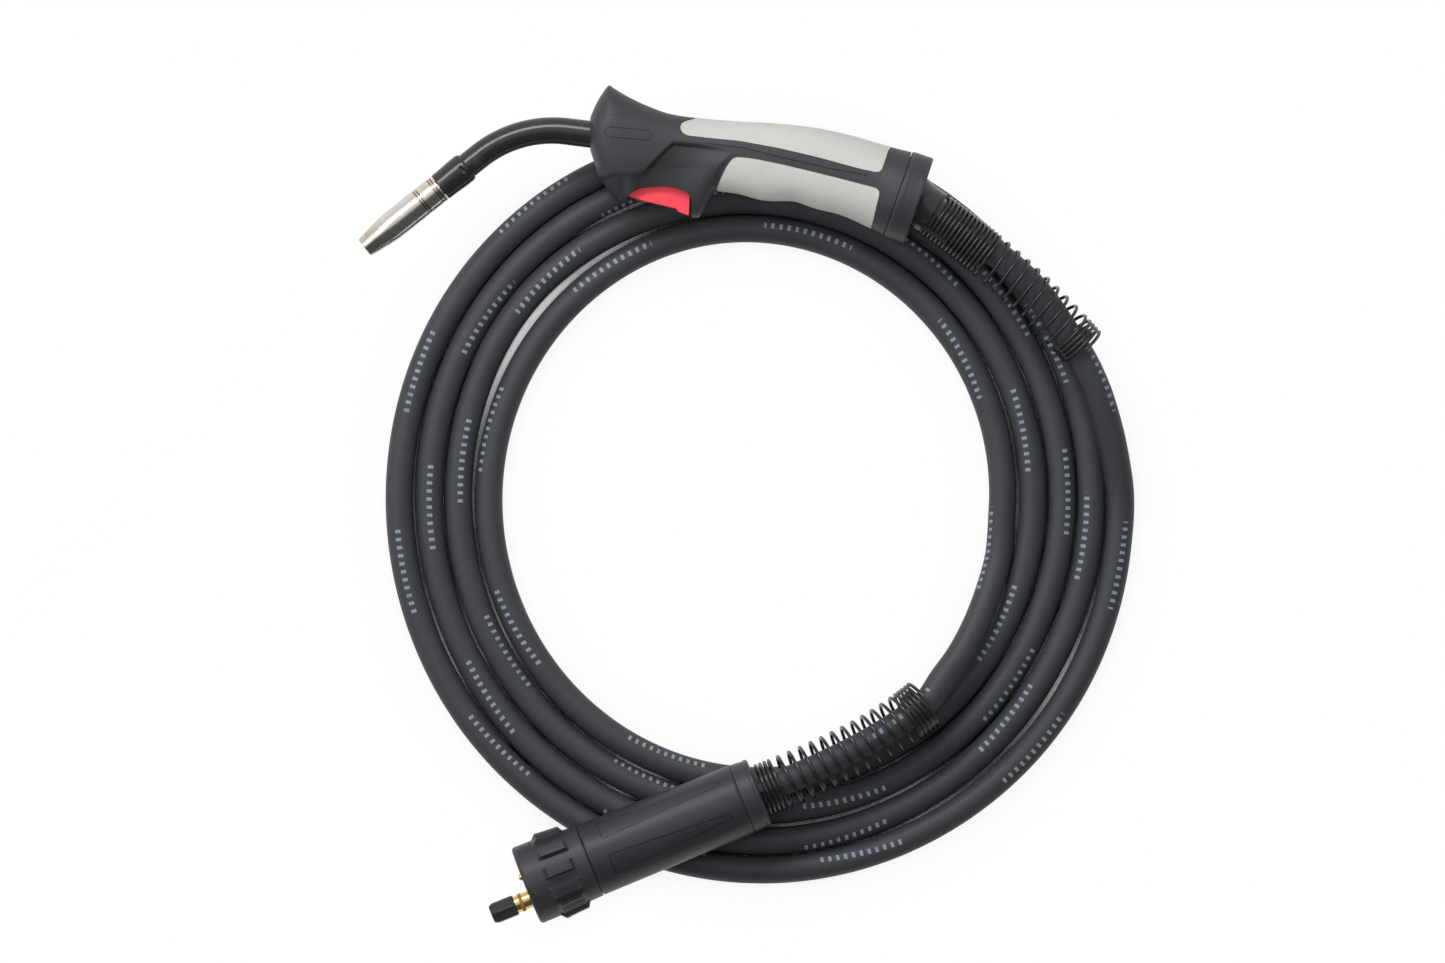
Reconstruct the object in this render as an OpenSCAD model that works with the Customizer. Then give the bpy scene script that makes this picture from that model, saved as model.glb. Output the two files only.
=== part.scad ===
// MIG welding torch with its cable coiled and a central connector at the far end.
// The torch lies on its side on the coil. X runs along the handle, Y across it, Z is up.
// The origin is the mouth of the contact tip, where the welding wire comes out.

/* [Contact tip] */
// Bore of the contact tip for the welding wire, mm
wire_bore = 1.0; // [0.8:0.1:1.2]
// Length of the contact tip in front of its thread, mm
tip_length = 22; // [20:1:24]
// Outer diameter of the contact tip, mm
tip_diameter = 8; // [7:0.5:8.5]

/* [Gas nozzle] */
// Length of the gas nozzle, mm
nozzle_length = 55.5; // [52:0.5:60]
// Outer diameter of the gas nozzle's straight part, mm
nozzle_diameter = 17; // [16.5:0.1:18]
// Outer diameter of the gas nozzle's mouth, mm
nozzle_mouth_diameter = 11.8; // [11.5:0.1:13]
// How far the contact tip sits inside the nozzle's mouth, mm
tip_recess = 3; // [0:0.5:5]

/* [Neck] */
// Angle between the nozzle and the line of the handle, degrees
neck_bend = 45.6; // [30:0.1:50]
// Bend radius of the neck's centre line, mm
neck_radius = 68; // [60:1:80]
// Outer diameter of the neck's insulating sleeve, mm
sleeve_diameter = 15; // [14:0.1:15.5]
// Length of the collar behind the nozzle, mm
collar_length = 19.4; // [16:0.1:24]

/* [Handle] */
// Width of the grip across its two halves, mm
grip_width = 38; // [36:0.5:40]
// Thickness of the handle's walls, mm
wall = 2.6; // [2.2:0.1:3]
// Depth of the soft pads, mm
pad_depth = 1.5; // [1:0.1:1.8]
// Outer diameter of the lock ring behind the handle, mm
lock_ring_diameter = 52; // [50:0.5:54]
// Diameter of the ball that the handle swivels on, mm
ball_diameter = 30; // [29:0.2:31]
// Swing of the trigger, degrees
trigger_travel = 4.5; // [3:0.5:5]

/* [Cable] */
// Outer diameter of the cable, mm
cable_diameter = 16; // [14:0.1:16.2]
// Radius of the outer loop of the coil, mm
coil_radius = 217.8; // [210:0.1:225]
// Distance between neighbouring loops of the coil, mm
loop_pitch = 16.8; // [16.7:0.1:18]

/* [Cable springs] */
// Wire diameter of the two cable springs, mm
spring_wire = 2; // [1.6:0.1:2.2]
// Outer diameter of the spring behind the handle, mm
handle_spring_diameter = 28.7; // [28:0.1:30]
// Outer diameter of the spring behind the connector, mm
connector_spring_diameter = 32; // [30:0.1:33]

/* [Connector] */
// Outer diameter of the union nut's front, mm
nut_diameter = 47; // [45:0.5:48]
// Height of the union nut's finger ribs, mm
rib_height = 4; // [2:0.5:4.5]
// Number of finger ribs on the union nut
rib_count = 12; // [8:1:14]
// Length of the connector's housing, mm
housing_length = 94.8; // [85:0.1:105]
// Diameter of the brass plug barrel, mm
barrel_diameter = 10; // [9:0.1:10.5]
// Length of the protective cap, mm
cap_length = 15; // [12:0.5:18]

/* [Hidden] */
$fn = 48;

// Clearances: sliding parts, parts of different bodies, and parts that only rest near each other.
slide_gap = 0.05;
body_gap = 0.3;
rest_gap = 0.4;

// Neck. Distances along the nozzle's line are counted from the contact tip's mouth.
handle_line = -7;
nozzle_line = handle_line + neck_bend;
nozzle_rear = nozzle_length - tip_recess;
collar_rear = nozzle_rear + collar_length;
bend_start = collar_rear + 10;
sleeve_r = sleeve_diameter / 2;
neck_tube_r = 5;
neck_bore_r = 2.3;
liner_r = 2.1;
spigot_r = nozzle_diameter / 2 - 2;
nozzle_bore_r = nozzle_diameter / 2 - 1.1;
tip_r = tip_diameter / 2;
tip_thread_r = 2.95;
tip_thread_length = 6;
holder_r = 5.2;
holder_rear = tip_length + 20;
neck_into_grip = 12.6;
neck_inside = 60;

function heading(angle) = [cos(angle), sin(angle), 0];
function across(angle) = [-sin(angle), cos(angle), 0];

bend_centre = bend_start * heading(nozzle_line) - neck_radius * across(nozzle_line);
bend_end = bend_centre + neck_radius * across(handle_line);
grip_at = bend_end + neck_into_grip * heading(handle_line);

// Handle sections from the front: top and bottom of the outline, half width, squareness of
// the oval, and how much smaller the hollow is in height and in width. From the neck's entry.
width = grip_width / 38;
sections = [
  [[1, 9.5], [1, -9.5], 9.5, 2, 0, 0],
  [[5.5, 21], [4.5, -22], 16 * width, 2, 0, 0],
  [[11.5, 28.5], [17.5, -41.2], 22.5 * width, 2.2, 14, 9],
  [[14.5, 27], [20.5, -39.5], 22 * width, 2.2, 11, 7],
  [[30, 18], [29.5, -33], 19.5 * width, 2.3, wall + 0.6, wall + 0.6],
  [[48, 11.5], [46, -31.2], 18 * width, 2.4, wall, wall],
  [[57.5, 10], [56.5, -33.5], 17.5 * width, 2.4, wall, wall],
  [[60, 9.6], [59.5, -45.5], 17.2 * width, 2.4, wall, wall],
  [[64.5, 9.2], [64.5, -47], 17.2 * width, 2.4, wall, wall],
  [[71.5, 8.7], [72, -33], 17.6 * width, 2.4, wall, wall],
  [[84.5, 7.9], [84.5, -33.2], 18.2 * width, 2.4, wall, wall],
  [[107, 6.4], [101.5, -37], 18.8 * width, 2.4, wall, wall],
  [[122.5, 4.6], [117.5, -38.8], 19 * width, 2.4, wall, wall],
  [[140, 2], [134, -42.8], 19.6 * width, 2.4, wall, wall],
  [[156.5, -1.8], [149, -47.8], 20.8 * width, 2.3, wall, wall],
  [[171.5, -6.2], [159.5, -52.8], 22.6 * width, 2.2, wall, wall]
];

// Ball joint and lock ring at the rear of the handle.
ball_at = grip_at + [186.5, -37.1, 0];
rear_line = -19;
ball_r = ball_diameter / 2;
seat_r = ball_r + 2.5;
socket_r = seat_r + body_gap;
ring_r = lock_ring_diameter / 2;
ring_front = 8.3;
ring_rear = 5;
spigot_depth = 6;
spigot_outer_r = ring_r - 3.2;
rear_r = ring_r - 0.7;

// Angles round a handle section, from its bottom to its top, and the rows that the pads cover.
section_angles = [-90, -75, -60, -45, -30, -18, -7, 7, 17, 30, 45, 60, 75, 90];
lower_pad_rows = [0, 6];
upper_pad_rows = [8, len(section_angles) - 1];
lower_pad_span = [10, len(sections) - 1];
upper_pad_span = [7, len(sections) - 1];

// Trigger and switch, from the neck's entry.
trigger_pivot = [27.5, -27.5];
trigger_half_width = 7.5;
trigger_top = -24.4;
trigger_rear = 57.4;
trigger_foot = -46.6;
switch_at = [47, trigger_top + 3];
switch_size = [19.8, 9, 6.4];
button_inside = 1.6;

// Cable. Loops run clockwise from the handle's lead, on the floor.
cable_r = cable_diameter / 2;
floor_z = -(cable_diameter + body_gap + 0.2 + ring_r);
coil_from = 40;
coil_to = 1465;
loop_rings = 24;

// Springs: turns that touch at each end, open turns between, and their pitch where closed.
closed_pitch = spring_wire + 0.7;
handle_spring_turns = [14, 9, 4];
connector_spring_turns = [4, 12, 5];
handle_spring_r = (handle_spring_diameter - spring_wire) / 2;
connector_spring_r = (connector_spring_diameter - spring_wire) / 2;

// Directions of the two springs at both ends: in the plane, and up from it.
stub_yaw = -35.5;
stub_pitch = -3;
lead_yaw = -54;
lead_pitch = -8;
stub_length = 16;
handle_spring_from = ball_at + stub_length * aim(stub_yaw, stub_pitch);
handle_spring_rise = cable_diameter + handle_spring_diameter / 2 + body_gap;
handle_spring_to = [
  ball_at[0] + 100.4, ball_at[1] - 87.1, floor_z + handle_spring_rise
];

// The coil's centre puts the outer loop under the handle spring's end.
lead_bearing = 25.8;
coil_at = handle_spring_to - (loop_radius(4.2) - 4.2) * heading(lead_bearing)
  - [0, 0, handle_spring_rise - cable_r];

// Connector: its spring leaves the inner loop, and the housing lies on the loops.
tail_bearing = -49;
connector_yaw = 22;
tail_yaw = 40;
tail_pitch = -8;
tail_rise = cable_diameter + connector_spring_diameter / 2 + body_gap;
connector_spring_to = coil_at + 150 * heading(tail_bearing) + [0, 0, tail_rise - cable_r];
housing_front_r = 21.6;
housing_rear_r = 20.4;
nut_length = 39.5;
housing_front = nut_length + rest_gap;
housing_rear = housing_front + housing_length;
rear_ring_length = 11;
connector_length = housing_rear + rear_ring_length;
connector_z = floor_z + cable_diameter + housing_front_r + body_gap;
spring_run = [-96.5, -51.5];
connector_spring_from = [
  connector_spring_to[0] + spring_run[0], connector_spring_to[1] + spring_run[1], connector_z
];
connector_at = connector_spring_from - (connector_length + rest_gap) * heading(connector_yaw);

// Inside the connector, across its face and along it from the nut's front.
barrel_side = -7.8;
pin_side = 6;
pin_spacing = 11;
pin_r = 2;
pin_front = -2;
insulator_front = 26;
insulator_rear = 38;
plug_rear = 82;
barrel_front = -22;
barrel_r = barrel_diameter / 2;
cap_front = -24.8;
shell_wall = 2.6;
nut_thread_r = nut_diameter / 2 - 3.5;
nut_lip_r = nut_thread_r - 1;

// ---- Shared functions ----

function aim(yaw, pitch) = [cos(yaw) * cos(pitch), sin(yaw) * cos(pitch), sin(pitch)];
function unit(v) = v / norm(v);
function total(list, i = 0) = i < len(list) - 1 ? list[i] + total(list, i + 1) : list[i];
function swell(turn, at, spread) = exp(-pow((turn - at) / spread, 2));

// Bearing of the cable after a number of degrees wound, and the loops' uneven radius there.
function bearing(wound) = 30 - wound;
function loop_radius(wound) =
  let (b = bearing(wound))
  coil_radius - loop_pitch * wound / 360
    - 2.3 * cos(b) + 5.1 * sin(b) - 3.4 * cos(2 * b) - 1.3 * sin(2 * b)
    + 0.9 * swell(wound, 90, 45) - 1.5 * swell(wound, 450, 45)
    - 1.3 * swell(wound, 810, 45) - 1.1 * swell(wound, 1170, 45)
    + 0.3 * swell(wound, 620, 45) + 0.6 * swell(wound, 980, 45)
    - 1.2 * swell(wound, 1340, 60) - 2 * swell(wound, 1490, 40);
function loop_point(wound) = coil_at + loop_radius(wound) * heading(bearing(wound));

// A curve from p to q that leaves along u and arrives along v.
function curve_point(p, u, q, v, t) =
  let (reach = norm(q - p) / 3, a = p + reach * u, b = q - reach * v)
  pow(1 - t, 3) * p + 3 * t * pow(1 - t, 2) * a + 3 * t * t * (1 - t) * b + pow(t, 3) * q;
function curve(p, u, q, v, steps) =
  [for (i = [0:steps]) curve_point(p, u, q, v, i / steps)];
function path_length(points) =
  total([for (i = [1:len(points) - 1]) norm(points[i] - points[i - 1])]);

// Tubes: rings of a profile along a path, with Z kept up, and a coiled wire about a path.
function tangent(points, i) =
  unit(points[min(i + 1, len(points) - 1)] - points[max(i - 1, 0)]);
function ring(centre, along, profile) =
  let (side = unit(cross(along, [0, 0, 1])), up = cross(side, along))
  [for (q = profile) centre + q[0] * side + q[1] * up];
function round_profile(r, sides) =
  [for (k = [0:sides - 1]) r * [cos(360 * k / sides), sin(360 * k / sides)]];
function flat_profile(r) =
  [[r, 0], [0.571 * r, r], [-0.571 * r, r], [-r, 0], [-0.571 * r, -r], [0.571 * r, -r]];
function skin_faces(rings, sides) = concat(
  [for (i = [0:rings - 2], k = [0:sides - 1])
    [i * sides + k, (i + 1) * sides + k, (i + 1) * sides + (k + 1) % sides]],
  [for (i = [0:rings - 2], k = [0:sides - 1])
    [i * sides + k, (i + 1) * sides + (k + 1) % sides, i * sides + (k + 1) % sides]],
  [for (k = [1:sides - 2]) [0, k, k + 1]],
  [for (k = [1:sides - 2]) (rings - 1) * sides * [1, 1, 1] + [0, k + 1, k]]
);
function join(lists) = [for (list = lists, item = list) item];

module tube(points, profile) {
  rings = [for (i = [0:len(points) - 1]) ring(points[i], tangent(points, i), profile)];
  polyhedron(points = join(rings), faces = skin_faces(len(rings), len(profile)));
}

// A spring's wire: 8 rings a turn, on a curve, closed turns at both ends.
function spring_distance(turn, counts, open_pitch) =
  closed_pitch * min(turn, counts[0])
    + open_pitch * min(max(turn - counts[0], 0), counts[1])
    + closed_pitch * max(turn - counts[0] - counts[1], 0);
function open_pitch(length, counts) =
  (length - spring_wire - closed_pitch * (counts[0] + counts[2])) / counts[1];
function spring_ring(path, r, counts, turn, ahead = 0) =
  let (
    length = path_length(curve(path[0], path[1], path[2], path[3], 40)),
    run = spring_distance(turn, counts, open_pitch(length, counts)) + spring_wire / 2,
    t = run / length,
    here = curve_point(path[0], path[1], path[2], path[3], t),
    step = curve_point(path[0], path[1], path[2], path[3], t + 0.01) - here,
    along = unit(step),
    side = unit(cross(along, [0, 0, 1])),
    up = cross(side, along),
    out = cos(360 * turn) * up + sin(360 * turn) * side,
    onward = cross(along, out),
    middle = here + r * out - ahead * onward
  )
  [for (k = [0:5])
    middle + spring_wire / 2 * (cos(60 * k) * out - sin(60 * k) * along)];
function spring_rings(path, r, counts) =
  let (turns = total(counts))
  concat(
    [spring_ring(path, r, counts, 0, -spring_wire)],
    [for (i = [0:8 * turns]) spring_ring(path, r, counts, i / 8)],
    [spring_ring(path, r, counts, turns, spring_wire)]
  );

module spring(path, r, counts) {
  rings = spring_rings(path, r, counts);
  polyhedron(points = join(rings), faces = skin_faces(len(rings), 6));
}

// The least gap of a wound tube to itself: between ring middles a turn or so apart.
function middle(points) = total(points) / len(points);
function least_gap(middles, turn_rings, thick) =
  let (n = len(middles))
  min([for (i = [0:n - 1], j = [i + turn_rings - 4:i + turn_rings + 4])
    if (j < n) norm(middles[i] - middles[j])]) - thick;

handle_spring_path = [
  handle_spring_from, aim(stub_yaw, stub_pitch), handle_spring_to, aim(lead_yaw, lead_pitch)
];
connector_spring_path = [
  connector_spring_from, heading(connector_yaw), connector_spring_to, aim(tail_yaw, tail_pitch)
];
coil_steps = floor((coil_to - coil_from) / (360 / loop_rings));
coil_route = [
  for (i = [0:coil_steps]) loop_point(coil_from + (coil_to - coil_from) * i / coil_steps)
];

// Frames for the round parts.
module on_nozzle(a = 0) {
  translate(a * heading(nozzle_line))
    rotate([0, 90, nozzle_line])
      children();
}
module on_neck_end(a = 0) {
  translate(bend_end + a * heading(handle_line))
    rotate([0, 90, handle_line])
      children();
}
module on_rear(a = 0) {
  translate(ball_at + a * heading(rear_line))
    rotate([0, 90, rear_line])
      children();
}
module on_stub(a = 0) {
  translate(ball_at + a * aim(stub_yaw, stub_pitch))
    rotate([0, 90 - stub_pitch, stub_yaw])
      children();
}
module on_connector(a = 0) {
  translate(connector_at + a * heading(connector_yaw))
    rotate([0, 90, connector_yaw])
      children();
}
module pipe(outer, inner, length) {
  difference() {
    cylinder(r = outer, h = length);
    translate([0, 0, -1])
      cylinder(r = inner, h = length + 2);
  }
}
// A pipe that follows the neck, from a place on the nozzle's line to a depth in the handle.
bend_steps = 12;
function neck_route(from, inside) = concat(
  [from * heading(nozzle_line)],
  [for (i = [0:bend_steps])
    bend_centre + neck_radius * across(nozzle_line - neck_bend * i / bend_steps)],
  [bend_end + (neck_into_grip + inside) * heading(handle_line)]
);
function bore_faces(rings, sides, first) = concat(
  [for (i = [0:rings - 2], k = [0:sides - 1])
    first * [1, 1, 1] + [i * sides + k, (i + 1) * sides + (k + 1) % sides, (i + 1) * sides + k]],
  [for (i = [0:rings - 2], k = [0:sides - 1])
    first * [1, 1, 1] + [i * sides + k, i * sides + (k + 1) % sides,
      (i + 1) * sides + (k + 1) % sides]]
);
function rim_faces(outer, inner, sides, flip) = [
  for (k = [0:sides - 1], half = [0, 1])
    let (
      a = outer + k, b = outer + (k + 1) % sides, c = inner + (k + 1) % sides, d = inner + k,
      f = half == 0 ? [a, b, c] : [a, c, d]
    )
    flip ? [f[2], f[1], f[0]] : f
];
module swept_pipe(points, outer, inner, sides) {
  rings = len(points);
  count = rings * sides;
  walls = skin_faces(rings, sides);
  rows = concat(
    [for (i = [0:rings - 1]) ring(points[i], tangent(points, i), round_profile(outer, sides))],
    [for (i = [0:rings - 1]) ring(points[i], tangent(points, i), round_profile(inner, sides))]
  );
  polyhedron(points = join(rows), faces = concat(
    [for (i = [0:2 * (rings - 1) * sides - 1]) walls[i]],
    bore_faces(rings, sides, count),
    rim_faces(0, count, sides, false),
    rim_faces((rings - 1) * sides, count + (rings - 1) * sides, sides, true)
  ));
}
module in_grip(point, z = 0) {
  translate(grip_at + [point[0], point[1], z])
    children();
}

// ---- Neck and nozzle ----

module gas_nozzle() {
  taper_from = 0.34 * nozzle_length;
  r = nozzle_diameter / 2;
  mouth_r = nozzle_mouth_diameter / 2;
  color("#d6d3cc")
    on_nozzle(-tip_recess)
      rotate_extrude()
        polygon([
          [mouth_r - 1, 0], [mouth_r, 0.4], [r, taper_from], [r, nozzle_length - 15.4],
          [r - 0.3, nozzle_length - 15], [r, nozzle_length - 14.6], [r, nozzle_length - 13.6],
          [r - 0.3, nozzle_length - 13.2], [r, nozzle_length - 12.8], [r, nozzle_length - 2.6],
          [r - 0.3, nozzle_length - 2.2], [r, nozzle_length - 1.8], [r, nozzle_length],
          [nozzle_bore_r, nozzle_length], [nozzle_bore_r, taper_from + 1]
        ]);
}

module contact_tip() {
  color("#b8714a")
    on_nozzle()
      difference() {
        union() {
          cylinder(r1 = tip_r - 1.2, r2 = tip_r, h = 4);
          translate([0, 0, 4])
            cylinder(r = tip_r, h = tip_length - 4);
          translate([0, 0, tip_length])
            cylinder(r = tip_thread_r, h = tip_thread_length);
        }
        translate([0, 0, -1])
          cylinder(r = wire_bore / 2, h = tip_length + tip_thread_length + 2);
      }
}

module tip_holder() {
  gas_hole_r = 0.9;
  length = holder_rear - tip_length;
  color("#c79a4a")
    on_nozzle(tip_length)
      difference() {
        cylinder(r = holder_r, h = length);
        translate([0, 0, -1])
          cylinder(r = tip_thread_r + slide_gap, h = tip_thread_length + 1.5);
        cylinder(r = neck_bore_r, h = length + 1);
        for (turn = [0:90:270])
          translate([0, 0, 11])
            rotate([0, 90, turn])
              cylinder(r = gas_hole_r, h = holder_r + 1);
      }
}

module nozzle_insulator() {
  color("#2a2a2c")
    on_nozzle(holder_rear - 6)
      pipe(spigot_r, holder_r + slide_gap, nozzle_rear - holder_rear + 6);
}

module nozzle_spring() {
  color("#8d8f92")
    on_nozzle(nozzle_rear - 6)
      pipe(nozzle_bore_r - slide_gap, spigot_r, 3.5);
}

module neck_collar() {
  r = nozzle_diameter / 2 + 0.3;
  color("#1d1d1f")
    on_nozzle(nozzle_rear)
      rotate_extrude()
        polygon([
          [neck_tube_r, rest_gap], [r - 0.5, rest_gap], [r, rest_gap + 0.5],
          [r, collar_length - 2], [r - 1.4, collar_length], [neck_tube_r, collar_length]
        ]);
}

module gooseneck_tube() {
  color("#a8783c")
    swept_pipe(neck_route(holder_rear, neck_inside), neck_tube_r, neck_bore_r, 12);
}

module gooseneck_sleeve() {
  color("#1b1b1d")
    swept_pipe(neck_route(collar_rear, 10), sleeve_r, neck_tube_r + 0.2, 16);
}

module wire_liner() {
  color("#9a9da1")
    swept_pipe(neck_route(holder_rear + 1, neck_inside - 1), liner_r, 0.9, 8);
}

module neck_nut() {
  color("#c79a4a")
    on_neck_end(neck_into_grip + neck_inside)
      difference() {
        union() {
          cylinder(r = 7.5, h = 9, $fn = 6);
          translate([0, 0, 9])
            cylinder(r = 5.5, h = 8);
        }
        translate([0, 0, -1])
          cylinder(r = neck_bore_r, h = 19);
      }
}

// ---- Handle ----

function oval(angle, squareness) =
  let (c = cos(angle), s = sin(angle))
  [sign(s) * pow(abs(s), 2 / squareness), pow(abs(c), 2 / squareness)];

// A section's edge at an angle, drawn in by two amounts. Side is 1 or -1.
function section_point(row, angle, in_height, in_width, side) =
  let (
    middle = (row[0] + row[1]) / 2,
    half = (row[0] - row[1]) / 2,
    o = oval(angle, row[3]),
    reach = half * (norm(half) - in_height) / norm(half) * o[0],
    edge = middle + reach
  )
  [grip_at[0] + edge[0], grip_at[1] + edge[1], side * (row[2] - in_width) * o[1]];

// The hollow starts as the neck's hole, so its first two sections are round.
neck_hole_r = sleeve_r + 0.35;
function hollow(i) = i < 2
  ? let (m = (sections[i][0] + sections[i][1]) / 2)
    [m + [0, neck_hole_r], m - [0, neck_hole_r], neck_hole_r, 2, 0, 0]
  : sections[i];

// The rear of the shells: the seam's full circle, then the spigot that the ring screws on.
function rear_section(a, r) =
  let (m = ball_at - grip_at + a * heading(rear_line), up = across(rear_line))
  [[m[0] + r * up[0], m[1] + r * up[1]], [m[0] - r * up[0], m[1] - r * up[1]], r, 2, 0, 0];
rear_outer = [
  rear_section(-ring_front, rear_r), rear_section(-ring_front, spigot_outer_r),
  rear_section(-ring_front + spigot_depth, spigot_outer_r)
];
spigot_inner_r = spigot_outer_r - 2.6;
rear_inner = [
  rear_section(-ring_front, spigot_inner_r), rear_section(-ring_front, spigot_inner_r),
  rear_section(-ring_front + spigot_depth, spigot_inner_r)
];

function covered(i, k, span, rows) =
  i >= span[0] && i <= span[1] && k >= rows[0] && k <= rows[1];
function recess(i, k) =
  covered(i, k, lower_pad_span, lower_pad_rows)
    || covered(i, k, upper_pad_span, upper_pad_rows) ? pad_depth : 0;

angle_count = len(section_angles);
function outer_row(row, i, side) = [
  for (k = [0:angle_count - 1])
    section_point(row, section_angles[k], recess(i, k), recess(i, k), side)
];
function inner_row(row, side) = [
  for (k = [angle_count - 1:-1:0]) section_point(row, section_angles[k], row[4], row[5], side)
];

module handle_half(side) {
  last = len(sections) - 1;
  rows = concat(
    [for (i = [0:last]) concat(outer_row(sections[i], i, side), inner_row(hollow(i), side))],
    [for (i = [0:2])
      concat(outer_row(rear_outer[i], -1, side), inner_row(rear_inner[i], side))]
  );
  points = join(rows);
  faces = half_faces(len(rows), 2 * angle_count);
  polyhedron(
    points = points,
    faces = side > 0 ? faces : [for (f = faces) [f[2], f[1], f[0]]]
  );
}
function half_faces(rings, sides) = concat(
  [for (i = [0:rings - 2], k = [0:sides - 1])
    [i * sides + k, (i + 1) * sides + (k + 1) % sides, (i + 1) * sides + k]],
  [for (i = [0:rings - 2], k = [0:sides - 1])
    [i * sides + k, i * sides + (k + 1) % sides, (i + 1) * sides + (k + 1) % sides]],
  half_cap(0, sides, true),
  half_cap((rings - 1) * sides, sides, false)
);
function half_cap(from, sides, flip) = [
  for (k = [0:sides / 2 - 2], half = [0, 1])
    let (
      a = from + k, b = from + k + 1, c = from + sides - 2 - k, d = from + sides - 1 - k,
      f = half == 0 ? [a, c, b] : [a, d, c]
    )
    flip ? f : [f[2], f[1], f[0]]
];

// Screw columns between the two shells, from the neck's entry.
screw_places = [[38, 8], [89, -24.5], [147, -35]];
screw_r = 1.25;
screw_head_r = 2.2;
column_r = screw_head_r + 0.9;
column_short = 1.1;
screw_sink = 5;

// How far the handle's skin is from the parting plane at a place.
function skin_height(place) =
  let (
    n = 2.4,
    top = lookup(place[0], [for (row = sections) row[0]]),
    bottom = lookup(place[0], [for (row = sections) row[1]]),
    half = lookup(place[0], [for (row = sections) [row[0][0], row[2]]]),
    v = abs(2 * place[1] - top - bottom) / (top - bottom)
  )
  half * pow(1 - pow(v, n), 1 / n);

function column_height(place) = skin_height(place) - wall - column_short;

// The slot's rear end clears the trigger's foot when it is pulled.
module trigger_slot() {
  front = 22;
  rear = trigger_pivot[0] + (trigger_rear - trigger_pivot[0]) * cos(trigger_travel)
    + (trigger_pivot[1] - trigger_foot) * sin(trigger_travel) + body_gap;
  in_grip([front, -50], -trigger_half_width - rest_gap)
    cube([rear - front, 30, 2 * (trigger_half_width + rest_gap)]);
}

module handle_shell(side) {
  color("#3b3c3f")
    difference() {
      union() {
        handle_half(side);
        for (place = screw_places)
          in_grip(place, side > 0 ? 0.1 : -0.1 - column_height(place))
            cylinder(r = column_r, h = column_height(place));
      }
      trigger_slot();
      on_neck_end()
        cylinder(r = sleeve_r + slide_gap, h = neck_into_grip + 10);
      for (place = screw_places)
        screw_hole(place, side);
      in_grip(trigger_pivot, -trigger_half_width - 4)
        cylinder(r = 1.5, h = 2 * trigger_half_width + 8);
    }
}

module screw_hole(place, side) {
  in_grip(place, -skin_height(place) + screw_sink - 0.1)
    cylinder(r = screw_r, h = 22);
  if (side < 0)
    in_grip(place, -skin_height(place) - 8)
      cylinder(r = screw_head_r + 0.2, h = screw_sink + 8);
}

module handle_shell_left() {
  handle_shell(-1);
}

module handle_shell_right() {
  handle_shell(1);
}

module handle_screws() {
  color("#5f6266")
    for (place = screw_places)
      in_grip(place, -skin_height(place) + screw_sink)
        difference() {
          union() {
            cylinder(r = screw_r, h = 20);
            translate([0, 0, -2])
              cylinder(r = screw_head_r, h = 2);
          }
          translate([-2, -0.4, -3])
            cube([4, 0.8, 1.8]);
          translate([-0.4, -2, -3])
            cube([0.8, 4, 1.8]);
        }
}

// A soft pad fills its recess, face to face, and is flush with the shell.
module pad(span, rows, side) {
  depth = pad_depth - slide_gap;
  rings = [
    for (i = [span[0]:span[1]]) concat(
      [for (k = [rows[0]:rows[1]])
        section_point(sections[i], section_angles[k], depth, depth, side)],
      [for (k = [rows[1]:-1:rows[0]]) section_point(sections[i], section_angles[k], 0, 0, side)]
    )
  ];
  faces = half_faces(len(rings), len(rings[0]));
  polyhedron(
    points = join(rings),
    faces = side < 0 ? faces : [for (f = faces) [f[2], f[1], f[0]]]
  );
}

module upper_grip_left() {
  color("#d4d3cd")
    pad(upper_pad_span, upper_pad_rows, -1);
}

module upper_grip_right() {
  color("#d4d3cd")
    pad(upper_pad_span, upper_pad_rows, 1);
}

module lower_grip_left() {
  color("#c9c8c2")
    difference() {
      pad(lower_pad_span, lower_pad_rows, -1);
      for (place = screw_places)
        screw_hole(place, -1);
    }
}

module lower_grip_right() {
  color("#c9c8c2")
    pad(lower_pad_span, lower_pad_rows, 1);
}

module lock_ring() {
  length = ring_front + ring_rear;
  color("#3b3c3f")
    on_rear(-ring_front)
      difference() {
        union() {
          translate([0, 0, 0.1])
            cylinder(r1 = rear_r + 0.1, r2 = ring_r, h = 2.9);
          translate([0, 0, 3])
            cylinder(r = ring_r, h = length - 4);
          translate([0, 0, length - 1])
            cylinder(r1 = ring_r, r2 = ring_r - 1, h = 1);
        }
        translate([0, 0, -1])
          cylinder(r = spigot_outer_r + 0.1, h = spigot_depth + 1.2);
        cylinder(r = socket_r + 0.2, h = ring_front - 0.5);
        translate([0, 0, ring_front])
          sphere(r = socket_r);
      }
}

module swivel_seat() {
  front = 7;
  rear = 4.4;
  color("#cfcab8")
    on_rear()
      difference() {
        sphere(r = seat_r);
        sphere(r = ball_r + body_gap);
        translate([0, 0, -front - seat_r])
          cylinder(r = seat_r + 1, h = seat_r);
        translate([0, 0, rear])
          cylinder(r = seat_r + 1, h = seat_r);
      }
}

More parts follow.
